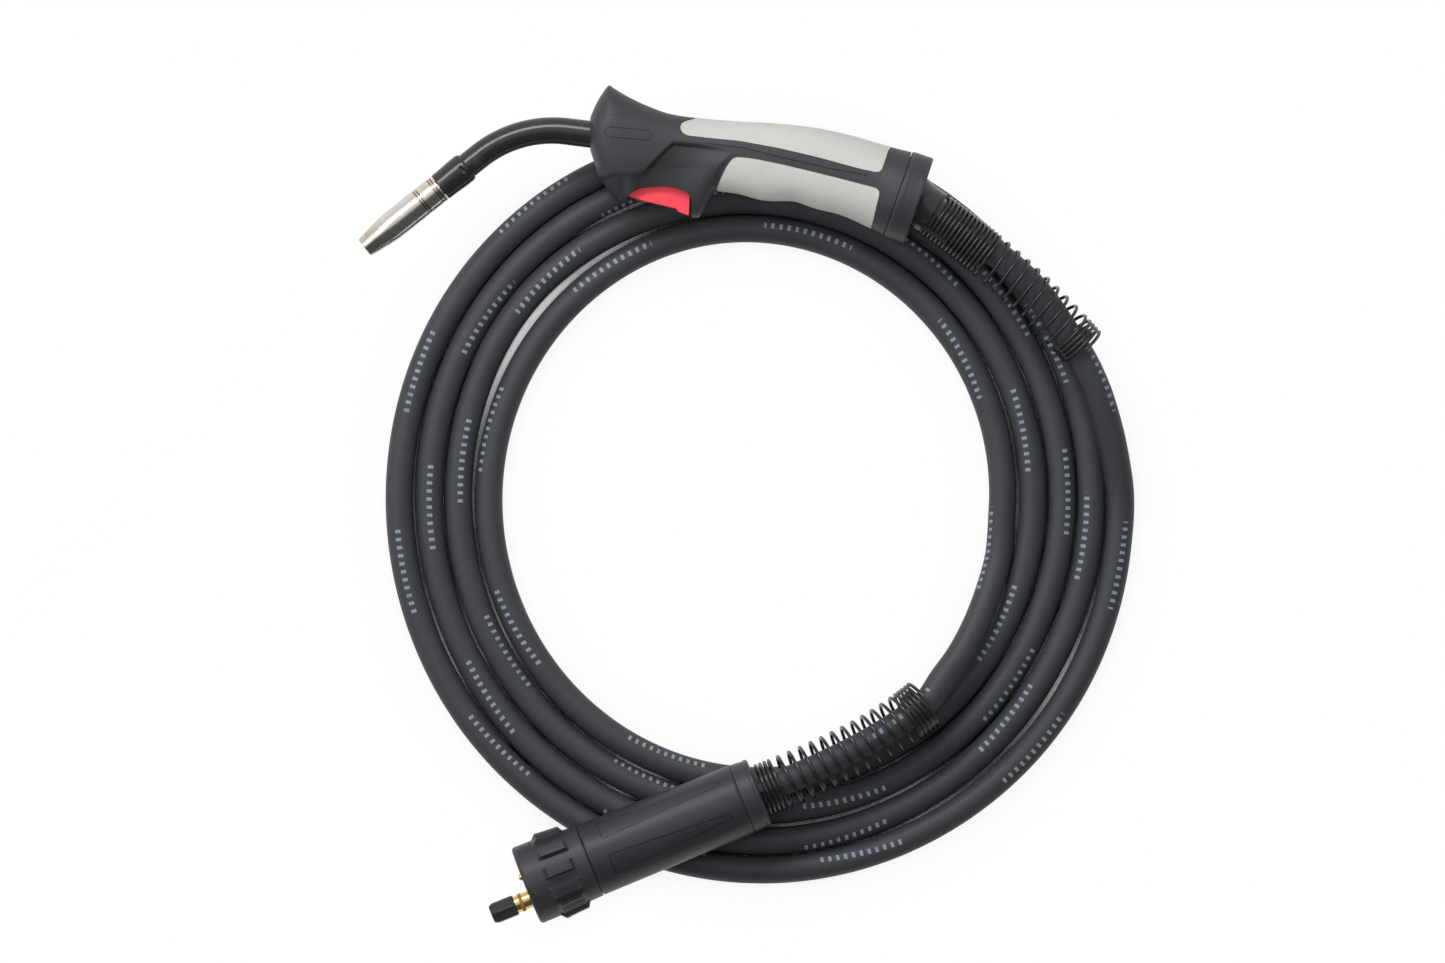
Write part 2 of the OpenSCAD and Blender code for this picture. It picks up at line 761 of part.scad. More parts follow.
module swivel_ball() {
  neck_r = 11;
  flange_r = handle_spring_diameter / 2 - 0.6;
  flange_at = 12;
  mandrel_r = handle_spring_r * cos(22.5) - spring_wire / 2 - 0.3;
  color("#1b1b1d")
    difference() {
      on_stub()
        difference() {
          union() {
            sphere(r = ball_r);
            cylinder(r = neck_r, h = stub_length - 1);
            translate([0, 0, flange_at])
              cylinder(r = flange_r, h = stub_length - flange_at - 0.3);
            translate([0, 0, stub_length - 2])
              cylinder(r = mandrel_r, h = 17);
          }
          translate([0, 0, 3])
            cylinder(r = cable_r + 0.1, h = 40);
          translate([0, 0, -2.5])
            cylinder(r = core_r + 1, h = 8);
        }
      on_rear(-ball_r - 1)
        cylinder(r1 = 13, r2 = core_r + 1, h = ball_r);
    }
}

// ---- Trigger and switch ----

module trigger() {
  outline = [
    [22.6, -35.4], [25, -31], [27, trigger_top], [54.5, trigger_top], [trigger_rear, -30],
    [trigger_rear, trigger_foot]
  ];
  teeth = 9;
  tooth_from = [33.5, -39.6];
  tooth_to = [52.5, -44.8];
  color("#d8202f")
    difference() {
      in_grip([0, 0], -trigger_half_width)
        linear_extrude(height = 2 * trigger_half_width)
          polygon(concat(outline, [
            for (i = [teeth:-1:0], rise = [0, 0.6])
              tooth_from + (tooth_to - tooth_from) * (i + rise) / (teeth + 1) + [0, 2 * rise]
          ]));
      in_grip(trigger_pivot, -trigger_half_width - 1)
        cylinder(r = 1.55, h = 2 * trigger_half_width + 2);
    }
}

module trigger_pin() {
  color("#9a9da1")
    in_grip(trigger_pivot, -trigger_half_width - 3.5)
      cylinder(r = 1.5, h = 2 * trigger_half_width + 7);
}

module microswitch_body() {
  button_travel = (switch_at[0] - trigger_pivot[0]) * tan(trigger_travel);
  color("#1a1a1c")
    in_grip(switch_at)
      difference() {
        translate([-switch_size[0] / 2, 0, -switch_size[2] / 2])
          cube(switch_size);
        translate([0, -1, 0])
          rotate([-90, 0, 0])
            cylinder(r = 1.3, h = 1 + button_inside + button_travel + body_gap);
      }
}

module microswitch_button() {
  rest_height = trigger_top + 0.1 - switch_at[1];
  color("#c6402f")
    in_grip(switch_at)
      translate([0, rest_height, 0])
        rotate([-90, 0, 0])
          cylinder(r = 1.25, h = button_inside - rest_height);
}

module switch_leads() {
  start = [switch_at[0] + switch_size[0] / 2, switch_at[1] + 3, 0];
  color("#7a2f2a")
    for (side = [-1, 1])
      tube([
        for (p = [[0.3, 0, 1.8], [8, -0.5, 3], [32, -1.2, 8], [60, -6, 9], [90, -12, 9], [104, -16, 8]])
          grip_at + start + [p[0], p[1], side * p[2]]
      ], round_profile(1.1, 8));
}

// ---- Power core from the ball to the neck ----

core_r = 5;
core_front = bend_end + (neck_into_grip + neck_inside + 17) * heading(handle_line);

module power_core() {
  color("#8c2f28")
    tube([
      core_front, core_front + 12 * heading(handle_line),
      (core_front + ball_at) / 2 + [0, 1.2, 0],
      ball_at - 18 * heading(rear_line), ball_at - 3 * heading(rear_line)
    ], round_profile(core_r, 10));
}

// ---- Cable, its leads and springs ----

// Bearings on the coil, and the height there above the coil as a part of the whole drop.
handle_lead_drop = [[20, 0.86], [14, 0.64], [8, 0.38], [2, 0.13]];

module handle_lead() {
  drop = handle_spring_rise - cable_r;
  path = handle_spring_path;
  color("#2b2c2e")
    tube(concat(
      [ball_at + 3 * aim(stub_yaw, stub_pitch)],
      curve(path[0], path[1], path[2], path[3], 6),
      [for (row = handle_lead_drop) loop_point(30 - row[0]) + [0, 0, drop * row[1]]],
      [loop_start - lead_straight * loop_start_line, loop_start]
    ), round_profile(cable_r, 12));
}

// Bearings on the coil, extra radius over the inner loop, and height as a part of the climb.
connector_lead_climb = [
  [-12, 0, 0.08], [-20, 0.4, 0.27], [-28, 1.5, 0.5], [-36, 3.2, 0.72], [-43, 5, 0.89]
];

module connector_lead() {
  climb = tail_rise - cable_r;
  path = connector_spring_path;
  color("#2b2c2e")
    tube(concat(
      [loop_end, loop_end + 4 * loop_end_line],
      [for (row = connector_lead_climb)
        loop_point(1470 - row[0]) + row[1] * heading(row[0]) + [0, 0, climb * row[2]]],
      curve(path[2], -path[3], path[0], -path[1], 6),
      [connector_at + (plug_rear + 8) * heading(connector_yaw)]
    ), round_profile(cable_r, 12));
}

// The coil's ends run straight for one cable diameter, and the leads go on straight from them.
lead_straight = 10;
loop_start_line = unit(coil_route[0] - loop_point(coil_from - 7));
loop_end_line = unit(loop_point(coil_to + 10.4) - coil_route[coil_steps]);
loop_start = coil_route[0] - cable_diameter * loop_start_line;
loop_end = coil_route[coil_steps] + cable_diameter * loop_end_line;

module cable_coil() {
  color("#2b2c2e")
    tube(concat([loop_start], coil_route, [loop_end]), flat_profile(cable_r));
}

module handle_spring() {
  color("#202022")
    spring(handle_spring_path, handle_spring_r, handle_spring_turns);
}

module connector_spring() {
  color("#202022")
    spring(connector_spring_path, connector_spring_r, connector_spring_turns);
}

// ---- Connector ----

module nut_rib(base_r) {
  outline = [
    [base_r - 2, 12], [base_r + 0.6, 12], [base_r + rib_height, 15],
    [base_r + rib_height - 0.4, 27], [base_r, 30], [base_r - 2, 30]
  ];
  rotate([90, 0, 0])
    translate([0, 0, -3.2])
      linear_extrude(height = 6.4)
        polygon(outline);
}

module union_nut() {
  r = nut_diameter / 2;
  base_r = r - 1;
  nut_rear_r = housing_front_r + 0.2;
  color("#2f3033")
    on_connector()
      difference() {
        union() {
          rotate_extrude()
            polygon([
              [nut_lip_r, 0], [r - 1.2, 0], [r, 1.6], [r, 11], [base_r, 12],
              [nut_rear_r, nut_length], [nut_lip_r, nut_length]
            ]);
          for (i = [0:rib_count - 1])
            rotate([0, 0, 360 * (i + 0.5) / rib_count])
              nut_rib(base_r);
        }
        translate([0, 0, -1])
          cylinder(r = nut_thread_r, h = insulator_rear + 0.4);
      }
}

module plug_insulator() {
  color("#8f2a24")
    on_connector()
      difference() {
        union() {
          translate([0, 0, insulator_front])
            cylinder(r = nut_thread_r - body_gap, h = insulator_rear - insulator_front - 0.9);
          translate([0, 0, insulator_front + 1])
            cylinder(
              r = nut_lip_r - 1.5 - body_gap, h = housing_front - insulator_front + 8
            );
        }
        translate([0, barrel_side, 0])
          cylinder(r = barrel_r + slide_gap, h = 80);
        for (side = [-1, 1])
          translate([side * pin_spacing / 2, pin_side, 0])
            cylinder(r = pin_r + slide_gap, h = 80);
      }
}

// Places of the two sealing rings on the barrel.
seal_places = [barrel_front + 15, 12];
seal_width = 2;

module plug_barrel() {
  step_at = 12.4;
  color("#c9a14e")
    on_connector()
      difference() {
        union() {
          translate([0, barrel_side, barrel_front])
            cylinder(r = barrel_r - 0.3, h = step_at + 1);
          translate([0, barrel_side, barrel_front + step_at])
            cylinder(r = barrel_r, h = 72 - barrel_front - step_at);
          translate([0, barrel_side / 2, 60])
            cylinder(r = 10, h = 14);
          translate([0, 0, 70])
            cylinder(r = 9, h = plug_rear - 70);
        }
        translate([0, barrel_side, barrel_front - 1])
          cylinder(r = 2.2, h = 60);
        translate([0, 0, plug_rear - 10])
          cylinder(r = core_r, h = 12);
        for (at = seal_places)
          translate([0, barrel_side, at])
            pipe(barrel_r + 1, barrel_r - 1, seal_width);
      }
}

module o_rings() {
  color("#a02822")
    on_connector()
      for (at = seal_places)
        translate([0, barrel_side, at])
          pipe(barrel_r + 0.4, barrel_r - 1, seal_width);
}

module pin_cap() {
  r = 5.9;
  color("#1b1b1d")
    on_connector()
      translate([0, barrel_side, cap_front])
        difference() {
          union() {
            cylinder(r1 = r - 1, r2 = r, h = 3);
            translate([0, 0, 3])
              cylinder(r = r, h = cap_length - 3);
          }
          translate([0, 0, barrel_front - cap_front])
            cylinder(r = barrel_r - 0.3 + slide_gap, h = cap_length);
        }
}

module contact_pin(lift) {
  color("#d8b050")
    on_connector()
      translate([-lift, pin_side, pin_front])
      union() {
        translate([0, 0, 1])
          cylinder(r = pin_r, h = insulator_rear - pin_front);
        cylinder(r1 = pin_r - 0.8, r2 = pin_r, h = 1);
      }
}

module contact_pin_upper() {
  contact_pin(pin_spacing / 2);
}

module contact_pin_lower() {
  contact_pin(-pin_spacing / 2);
}

module power_ferrule() {
  color("#b8714a")
    on_connector(plug_rear - 10)
      pipe(5, 4, 17.5);
}

module cable_gland() {
  color("#2f3033")
    on_connector(housing_rear - 14)
      pipe(housing_rear_r - shell_wall - 0.1, cable_r + 0.05, 14);
}

// Half of the housing: a wall turned through half a circle about the connector's axis.
module housing_half(from) {
  inner = shell_wall;
  on_connector(housing_front)
    rotate([0, 0, from])
      rotate_extrude(angle = 180)
        polygon([
          [nut_thread_r - 2.2, 0], [housing_front_r - 0.8, 0], [housing_front_r, 0.8],
          [housing_rear_r + 0.1, housing_length],
          [housing_rear_r - inner, housing_length], [housing_front_r - inner - 0.2, 9],
          [nut_thread_r - 2.2, 9]
        ]);
}

module connector_shell_upper() {
  color("#333437")
    housing_half(90);
}

module connector_shell_lower() {
  color("#333437")
    housing_half(-90);
}

module connector_rear_ring() {
  r = housing_rear_r;
  color("#2f3033")
    on_connector(housing_rear)
      difference() {
        union() {
          cylinder(r1 = r, r2 = r - 0.9, h = rear_ring_length - 1.5);
          translate([0, 0, rear_ring_length - 1.5])
            cylinder(r1 = r - 0.9, r2 = r - 2.2, h = 1.5);
        }
        translate([0, 0, -1])
          cylinder(r = cable_r + 0.2, h = rear_ring_length + 2);
      }
}

echo("coil length mm", path_length(coil_route));
echo("coil least gap mm", least_gap(coil_route, loop_rings, cable_diameter));
echo("handle spring least gap mm", least_gap([
  for (r = spring_rings(handle_spring_path, handle_spring_r, handle_spring_turns)) middle(r)
], 8, spring_wire));
echo("connector spring least gap mm", least_gap([
  for (r = spring_rings(connector_spring_path, connector_spring_r, connector_spring_turns))
    middle(r)
], 8, spring_wire));

gas_nozzle();
contact_tip();
tip_holder();
nozzle_insulator();
nozzle_spring();
neck_collar();
gooseneck_tube();
gooseneck_sleeve();
wire_liner();
neck_nut();
handle_shell_left();
handle_shell_right();
handle_screws();
upper_grip_left();
upper_grip_right();
lower_grip_left();
lower_grip_right();
lock_ring();
swivel_seat();
swivel_ball();
trigger();
trigger_pin();
microswitch_body();
microswitch_button();
switch_leads();
power_core();
handle_lead();
cable_coil();
connector_lead();
handle_spring();
connector_spring();
union_nut();
plug_insulator();
plug_barrel();
o_rings();
pin_cap();
contact_pin_upper();
contact_pin_lower();
power_ferrule();
cable_gland();
connector_shell_upper();
connector_shell_lower();
connector_rear_ring();
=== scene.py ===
import math

import bmesh
import bpy
import numpy as np
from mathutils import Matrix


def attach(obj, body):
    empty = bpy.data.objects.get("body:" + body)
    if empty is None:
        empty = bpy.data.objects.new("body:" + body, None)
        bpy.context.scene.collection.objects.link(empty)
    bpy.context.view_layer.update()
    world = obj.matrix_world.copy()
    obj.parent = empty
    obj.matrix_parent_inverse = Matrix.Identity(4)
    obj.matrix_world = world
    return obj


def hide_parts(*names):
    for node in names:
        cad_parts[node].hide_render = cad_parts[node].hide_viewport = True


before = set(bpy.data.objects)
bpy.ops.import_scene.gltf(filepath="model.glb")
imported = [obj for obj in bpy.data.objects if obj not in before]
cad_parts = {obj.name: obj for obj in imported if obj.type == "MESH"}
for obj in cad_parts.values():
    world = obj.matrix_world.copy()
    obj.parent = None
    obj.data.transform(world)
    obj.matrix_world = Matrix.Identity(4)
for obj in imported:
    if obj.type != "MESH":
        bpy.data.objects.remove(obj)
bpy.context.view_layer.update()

# ---- Places, in millimetres: the part's own lines and points ----

UP = np.array([0.0, 0.0, 1.0])
GRIP = np.array([127.224, 63.91, 0.0])
BALL = np.array([313.724, 26.81, 0.0])
COIL = np.array([224.655, -151.883, -34.5])
CONNECTOR = np.array([91.102, -371.319, -4.6])
FLOOR = -42.5
CABLE_R = 8.0
BALL_R = 15.0


def aim(yaw, pitch=0.0):
    """Unit direction at a yaw in the plane and a pitch up from it, in degrees."""
    yaw, pitch = np.radians(yaw), np.radians(pitch)
    flat = np.cos(pitch)
    return np.stack([np.cos(yaw) * flat, np.sin(yaw) * flat, np.sin(pitch) + 0 * yaw], axis=-1)


def unit(vectors):
    return vectors / np.linalg.norm(vectors, axis=-1, keepdims=True)


def around(steps):
    """Evenly spaced angles round a full turn."""
    return np.linspace(0, 2 * math.pi, steps, endpoint=False)


class Axis:
    """A straight centre line: its start, its direction and the two directions across it."""

    def __init__(self, start, yaw, pitch=0.0):
        self.start = np.asarray(start, float)
        self.along = aim(yaw, pitch)
        self.side = aim(yaw + 90.0)
        self.up = np.cross(self.along, self.side)

    def at(self, distance, radius, turn):
        """Start + distance * along + radius * (cos(turn) * side + sin(turn) * up)."""
        distance, radius, turn = np.broadcast_arrays(distance, radius, turn)
        out = np.cos(turn)[..., None] * self.side + np.sin(turn)[..., None] * self.up
        return self.start + distance[..., None] * self.along + radius[..., None] * out


NECK_YAW = 38.6
GRIP_YAW = -7.0
NOZZLE_LINE = Axis((0, 0, 0), NECK_YAW)
REAR_LINE = Axis(BALL, -19.0)
STUB_LINE = Axis(BALL, -35.5, -3.0)
CONNECTOR_LINE = Axis(CONNECTOR, 22.0)

# ---- Camera, over the middle of the layout ----

# Millimetres per point of the frame; then, in metres, the frame's width, the camera's height and
# how far under the origin that scale holds.
PIXEL = 0.58
FRAME_WIDTH = 1445 * PIXEL / 1000
LENS_HEIGHT = 6.0
SCALE_DEPTH = 0.015
SENSOR = 36.0


def placed(name, data):
    """A new object in the scene."""
    made = bpy.data.objects.new(name, data)
    bpy.context.scene.collection.objects.link(made)
    return made


camera = placed("camera", bpy.data.cameras.new("camera"))
camera.location = (0.2047, -0.1371, LENS_HEIGHT)
camera.data.sensor_width = SENSOR
camera.data.lens = SENSOR * (LENS_HEIGHT + SCALE_DEPTH) / FRAME_WIDTH
camera.data.clip_end = 50.0
bpy.context.scene.camera = camera

# ---- Shader maths ----


def maths(operation, swapped=False):
    """A method that puts a value and any others through one Math node."""

    def method(self, *values):
        ordered = (*values, self) if swapped else (self, *values)
        return self.nodes.number("ShaderNodeMath", {"operation": operation}, *ordered)

    return method


class Field:
    """A shader value that takes part in sums, products and steps."""

    def __init__(self, nodes, socket):
        self.nodes = nodes
        self.socket = socket

    __add__ = __radd__ = maths("ADD")
    __mul__ = __rmul__ = maths("MULTIPLY")
    __sub__ = maths("SUBTRACT")
    __rsub__ = maths("SUBTRACT", swapped=True)
    __truediv__ = maths("DIVIDE")
    __abs__ = maths("ABSOLUTE")
    fraction = maths("FRACT")
    root = maths("SQRT")
    below = maths("LESS_THAN")
    smaller = maths("MINIMUM")
    larger = maths("MAXIMUM")
    angle = maths("ARCTAN2")

    def ramp(self, low, high, first=0.0, last=1.0):
        """The first value up to low and the last from high on, eased between them."""
        return self.nodes.number(
            "ShaderNodeMapRange", {"interpolation_type": "SMOOTHSTEP"}, self, low, high, first, last
        )


class Nodes:
    """A node tree, filled by a node's type, its settings and the values or links of its sockets."""

    def __init__(self, tree):
        self.tree = tree
        tree.nodes.clear()

    def set(self, node, socket, value):
        target = node.inputs[socket]
        if isinstance(value, Field):
            self.tree.links.new(value.socket, target)
        elif isinstance(value, tuple) and target.type == "RGBA":
            target.default_value = (*value, 1.0)
        else:
            target.default_value = value

    def node(self, kind, settings=None, *values, **named):
        made = self.tree.nodes.new(kind)
        for setting, value in (settings or {}).items():
            setattr(made, setting, value)
        for index, value in enumerate(values):
            self.set(made, index, value)
        for socket, value in named.items():
            self.set(made, socket.replace("_", " "), value)
        return made

    def number(self, kind, settings=None, *values, output=0, **named):
        return Field(self, self.node(kind, settings, *values, **named).outputs[output])

    def blend(self, factor, first, second):
        node = self.node("ShaderNodeMix", {"data_type": "RGBA", "clamp_factor": True}, factor)
        self.set(node, 6, first)
        self.set(node, 7, second)
        return Field(self, node.outputs[2])

    def rays(self, kind, *others):
        """1 for rays of any of these kinds."""
        path = self.node("ShaderNodeLightPath")
        share = Field(self, path.outputs[f"Is {kind} Ray"])
        for other in others:
            share = share.larger(Field(self, path.outputs[f"Is {other} Ray"]))
        return share


class Finish(Nodes):
    """A material on one Principled shader."""

    def __init__(self, name, **constants):
        self.material = bpy.data.materials.new(name)
        self.material.use_nodes = True
        super().__init__(self.material.node_tree)
        self.shader = self.node("ShaderNodeBsdfPrincipled", **constants)
        self.node("ShaderNodeOutputMaterial", Surface=Field(self, self.shader.outputs[0]))

    def place(self):
        """Object coordinates, in metres."""
        return self.number("ShaderNodeTexCoord", output="Object")

    def parts(self, vector):
        node = self.node("ShaderNodeSeparateXYZ", None, vector)
        return [Field(self, socket) for socket in node.outputs]

    def uv(self):
        """The piece's own map: metres along it, and turns round it."""
        return self.number("ShaderNodeUVMap", {"uv_map": "length_turn"})

    def vector(self, x, y):
        return self.number("ShaderNodeCombineXYZ", None, x, y)

    def noise(self, scale, vector=None, detail=3.0, roughness=0.5):
        vector = self.place() if vector is None else vector
        return self.number(
            "ShaderNodeTexNoise", Vector=vector, Scale=scale, Detail=detail, Roughness=roughness
        )

    def surface(self, color, roughness, height, depth, strength):
        """Links what varies over the surface; depth is the height's full scale in metres."""
        bump = self.number("ShaderNodeBump", Strength=strength, Distance=depth, Height=height)
        self.set(self.shader, "Base Color", color)
        self.set(self.shader, "Roughness", roughness)
        self.set(self.shader, "Normal", bump)
        return self


def segment_distance(x, y, start, end):
    """Distance in the plane from (x, y) to a segment, by the nearest point's share along it."""
    run = (end[0] - start[0], end[1] - start[1])
    share = ((x - start[0]) * run[0] + (y - start[1]) * run[1]) / (run[0] ** 2 + run[1] ** 2)
    share = share.larger(0.0).smaller(1.0)
    dx = x - start[0] - share * run[0]
    dy = y - start[1] - share * run[1]
    return (dx * dx + dy * dy).root()


def frame_distance(x, y, half_x, half_y, radius):
    """Signed distance to a rounded rectangle about the origin."""
    over_x = abs(x) - (half_x - radius)
    over_y = abs(y) - (half_y - radius)
    out_x = over_x.larger(0.0)
    out_y = over_y.larger(0.0)
    inside = over_x.larger(over_y).smaller(0.0)
    return (out_x * out_x + out_y * out_y).root() + inside - radius


def on_axis(finish, line):
    """Metres along an axis from its start, and the share of a turn about it: 0 on its side
    direction and a quarter on its upper one."""
    place = finish.parts(finish.place())
    x, y, z = (part - start / 1000 for part, start in zip(place, line.start))
    along, side, up = (
        x * way[0] + y * way[1] + z * way[2] for way in (line.along, line.side, line.up)
    )
    return along, up.angle(side) / (2 * math.pi)


def groove(distance, width):
    """1 in the middle of a line and 0 from its edge outwards."""
    return 1.0 - abs(distance).ramp(width * 0.2, width * 0.5)


# ---- Finishes ----


def shaded(color, share, more=0.0):
    """A colour times a share, plus a little."""
    return tuple(share * part + more for part in color)


def moulded_plastic(name, color, roughness, depth=0.00008, lines=None, scoop_painted_shade=False):
    """Fine spark-eroded grain, faint clouding, dark fine grooves, and painted shade that darkens
    the finger scoop.
    """
    finish = Finish(name, Specular_IOR_Level=0.32)
    cloud = finish.noise(38.0, detail=4.0)
    height = grain = finish.noise(2600.0, detail=2.0)
    rubbed = finish.noise(120.0, detail=5.0, roughness=0.7).ramp(0.56, 0.74)
    shade = finish.blend(cloud, shaded(color, 0.82), shaded(color, 1.2))
    shade = finish.blend(rubbed * 0.25, shade, shaded(color, 1.7, 0.004))
    if scoop_painted_shade:
        # painted shade: the finger scoop's colour is darkened where its recess lies in shade
        smooth = finish.number("ShaderNodeAttribute", {"attribute_name": "smooth"}, output="Fac")
        shade = finish.blend(smooth * 0.8, shade, shaded(color, 0.36))
    if lines is not None:
        line = lines(finish)
        shade = finish.blend(line * 0.85, shade, shaded(color, 0.2))
        height = grain * 0.35 - line * 3.0
    dull = roughness + cloud * 0.1 - rubbed * 0.08 - 0.05
    return finish.surface(shade, dull, height, depth, strength=0.6)


# The nozzle's grooves, in millimetres from the contact tip's mouth.
GROOVES = (39.1, 40.7, 49.4, 51.0)


def nozzle_metal():
    """Nickel plate: fine turned lines, small dull spots, copper showing in the grooves and a
    straw heat tint near the mouth."""
    finish = Finish("nozzle_nickel", Metallic=1.0)
    along, turn = on_axis(finish, NOZZLE_LINE)
    lines = finish.noise(1.0, finish.vector(along * 5200.0, turn * 6.0), detail=2.0)
    dull = finish.noise(260.0, detail=5.0, roughness=0.65).ramp(0.5, 0.7)
    cloud = finish.noise(55.0, detail=3.0)
    shade = finish.blend(cloud, (0.60, 0.58, 0.53), (0.76, 0.73, 0.67))
    shade = finish.blend(dull * 0.4, shade, (0.34, 0.33, 0.29))
    heat = (1.0 - along.ramp(0.0, 0.017)) * finish.noise(120.0).ramp(0.25, 0.65)
    shade = finish.blend(heat * 0.5, shade, (0.42, 0.34, 0.25))
    worn = groove(along - GROOVES[0] / 1000, 0.0009)
    for place in GROOVES[1:]:
        worn = worn.larger(groove(along - place / 1000, 0.0009))
    shade = finish.blend(worn * 0.9, shade, (0.34, 0.19, 0.10))
    roughness = 0.19 + dull * 0.16 + (lines - 0.5) * 0.1
    return finish.surface(shade, roughness, lines, 0.00002, strength=0.25)


def plain_metal(name, color, roughness):
    """Metal with clouding and small worn spots, for pieces without a length and turn map."""
    finish = Finish(name, Metallic=1.0)
    cloud = finish.noise(80.0, detail=4.0)
    worn = finish.noise(420.0, detail=4.0, roughness=0.7).ramp(0.55, 0.75)
    shade = finish.blend(cloud, shaded(color, 0.8), color)
    shade = finish.blend(worn * 0.5, shade, shaded(color, 0.5))
    grain = finish.noise(1500.0)
    return finish.surface(shade, roughness + worn * 0.2, grain, 0.00003, strength=0.5)


def soft_grip():
    """Soft pale grip: broad faint mottling, a fine matt grain and darker handling marks."""
    finish = Finish("soft_grip", Specular_IOR_Level=0.35)
    cloud = finish.noise(26.0, detail=3.0)
    rubbed = finish.noise(75.0, detail=5.0, roughness=0.65).ramp(0.5, 0.8)
    shade = finish.blend(cloud, (0.53, 0.53, 0.495), (0.61, 0.61, 0.575))
    shade = finish.blend(rubbed * 0.4, shade, (0.49, 0.49, 0.46))
    grain = finish.noise(1900.0, detail=2.0)
    return finish.surface(shade, 0.6 + rubbed * 0.1, grain, 0.00004, strength=0.5)


def gloss_black(name, roughness, color):
    """Black sleeve or lacquer: faint ripple, scuffs that dull the gloss, a trace of dust."""
    finish = Finish(name, Specular_IOR_Level=0.5)
    ripple = finish.noise(240.0, detail=2.0)
    scuff = finish.noise(95.0, detail=6.0, roughness=0.72).ramp(0.53, 0.7)
    shade = finish.blend(scuff * 0.5, color, shaded(color, 2.4))
    height = ripple + finish.noise(2400.0) * 0.15
    return finish.surface(shade, roughness + scuff * 0.2, height, 0.00006, strength=0.4)


# From one row of ticks on the cable to the next, and from one tick to the next, in metres.
TICK_ROW = 0.118
TICK_STEP = 0.0047


def cable_rubber():
    """Extruded rubber: drawing lines along it, soft clouding, and plain pale length ticks."""
    finish = Finish("cable_rubber", Specular_IOR_Level=0.34)
    along, turn, _ = finish.parts(finish.uv())
    drawn = finish.noise(1.0, finish.vector(along * 30.0, turn * 260.0), detail=3.0)
    cloud = finish.noise(1.0, finish.vector(along * 22.0, turn * 5.0), detail=5.0, roughness=0.6)
    grain = finish.noise(2200.0, detail=2.0)
    dust = finish.noise(1.0, finish.vector(along * 140.0, turn * 9.0), detail=6.0, roughness=0.7)
    shade = finish.blend(cloud, (0.032, 0.0338, 0.039), (0.053, 0.0555, 0.063))
    shade = finish.blend(dust.ramp(0.55, 0.78) * 0.35, shade, (0.058, 0.06, 0.066))
    row = (along / TICK_ROW).fraction().below(0.44)
    tick = (along / TICK_STEP).fraction().below(0.4) * row
    band = abs(turn - 0.25).below(0.032)
    worn = finish.noise(240.0, detail=2.0).ramp(0.2, 0.45)
    shade = finish.blend(tick * band * (0.45 + worn * 0.3), shade, (0.30, 0.36, 0.44))
    height = drawn * 0.5 + grain * 0.5
    return finish.surface(shade, 0.46 + cloud * 0.16, height, 0.00007, strength=0.5)


def handle_lines(finish):
    """The parting line between the pads and the bare rounded panel on the cheek."""
    x, y, _ = finish.parts(finish.place())
    ends = [
        (0.1952, 0.058), (0.2177, 0.0551), (0.2333, 0.051), (0.2639, 0.0438), (0.2887, 0.0392),
    ]
    parting = segment_distance(x, y, ends[0], ends[1])
    for start, end in zip(ends[1:-1], ends[2:]):
        parting = parting.smaller(segment_distance(x, y, start, end))
    seam = segment_distance(x, y, (0.1288, 0.0742), (0.1775, 0.0747))
    tilt = math.radians(-5.0)
    across = x - 0.1504
    above = y - 0.0635
    u = across * math.cos(tilt) + above * math.sin(tilt)
    v = above * math.cos(tilt) - across * math.sin(tilt)
    panel = frame_distance(u, v, 0.0134, 0.0029, 0.0026)
    drawn = groove(parting, 0.0009).larger(groove(panel, 0.0008))
    return drawn.larger(groove(seam, 0.0007) * 0.3)


def housing_lines(finish):
    """Six long rounded panels round the housing, each narrower towards its rear."""
    along, turn = on_axis(finish, CONNECTOR_LINE)
    across = ((turn * 6.0 + 0.70).fraction() - 0.5) * (2 * math.pi * 0.0212 / 6)
    half = 0.0059 - (along - 0.0515) * 0.058
    panel = frame_distance(along - 0.0885, across, 0.0370, half, 0.0016)
    return groove(panel, 0.0010)


# The handle's plastic, with painted shade darkening the finger scoop.
handle_plastic = moulded_plastic(
    "handle_plastic", (0.038, 0.0395, 0.0445), 0.5, lines=handle_lines, scoop_painted_shade=True
)
ring_plastic = moulded_plastic("ring_plastic", (0.034, 0.0355, 0.040), 0.48)
nut_plastic = moulded_plastic("nut_plastic", (0.034, 0.0355, 0.0405), 0.44, depth=0.00005)
housing_plastic = moulded_plastic(
    "housing_plastic", (0.028, 0.0295, 0.034), 0.42, depth=0.00005, lines=housing_lines
)
soft_pad = soft_grip()
trigger_red = moulded_plastic("trigger_red", (0.93, 0.07, 0.10), 0.42, depth=0.00003)
seat_nylon = moulded_plastic("seat_nylon", (0.60, 0.56, 0.44), 0.35)
inner_black = moulded_plastic("inner_black", (0.018, 0.018, 0.02), 0.5)
lead_red = moulded_plastic("lead_red", (0.30, 0.03, 0.025), 0.5)
seal_rubber = moulded_plastic("seal_rubber", (0.34, 0.16, 0.06), 0.35)
sleeve_gloss = gloss_black("sleeve_gloss", 0.22, (0.016, 0.018, 0.0195))
stub_gloss = gloss_black("stub_gloss", 0.2, (0.02, 0.0215, 0.025))
spring_black = gloss_black("spring_black", 0.22, (0.012, 0.012, 0.013))
nozzle_nickel = nozzle_metal()
plug_brass = plain_metal("plug_brass", (0.86, 0.61, 0.24), 0.24)
tip_copper = plain_metal("tip_copper", (0.78, 0.42, 0.28), 0.3)
liner_steel = plain_metal("liner_steel", (0.55, 0.55, 0.56), 0.34)
rubber = cable_rubber()

# ---- Surfaces ----


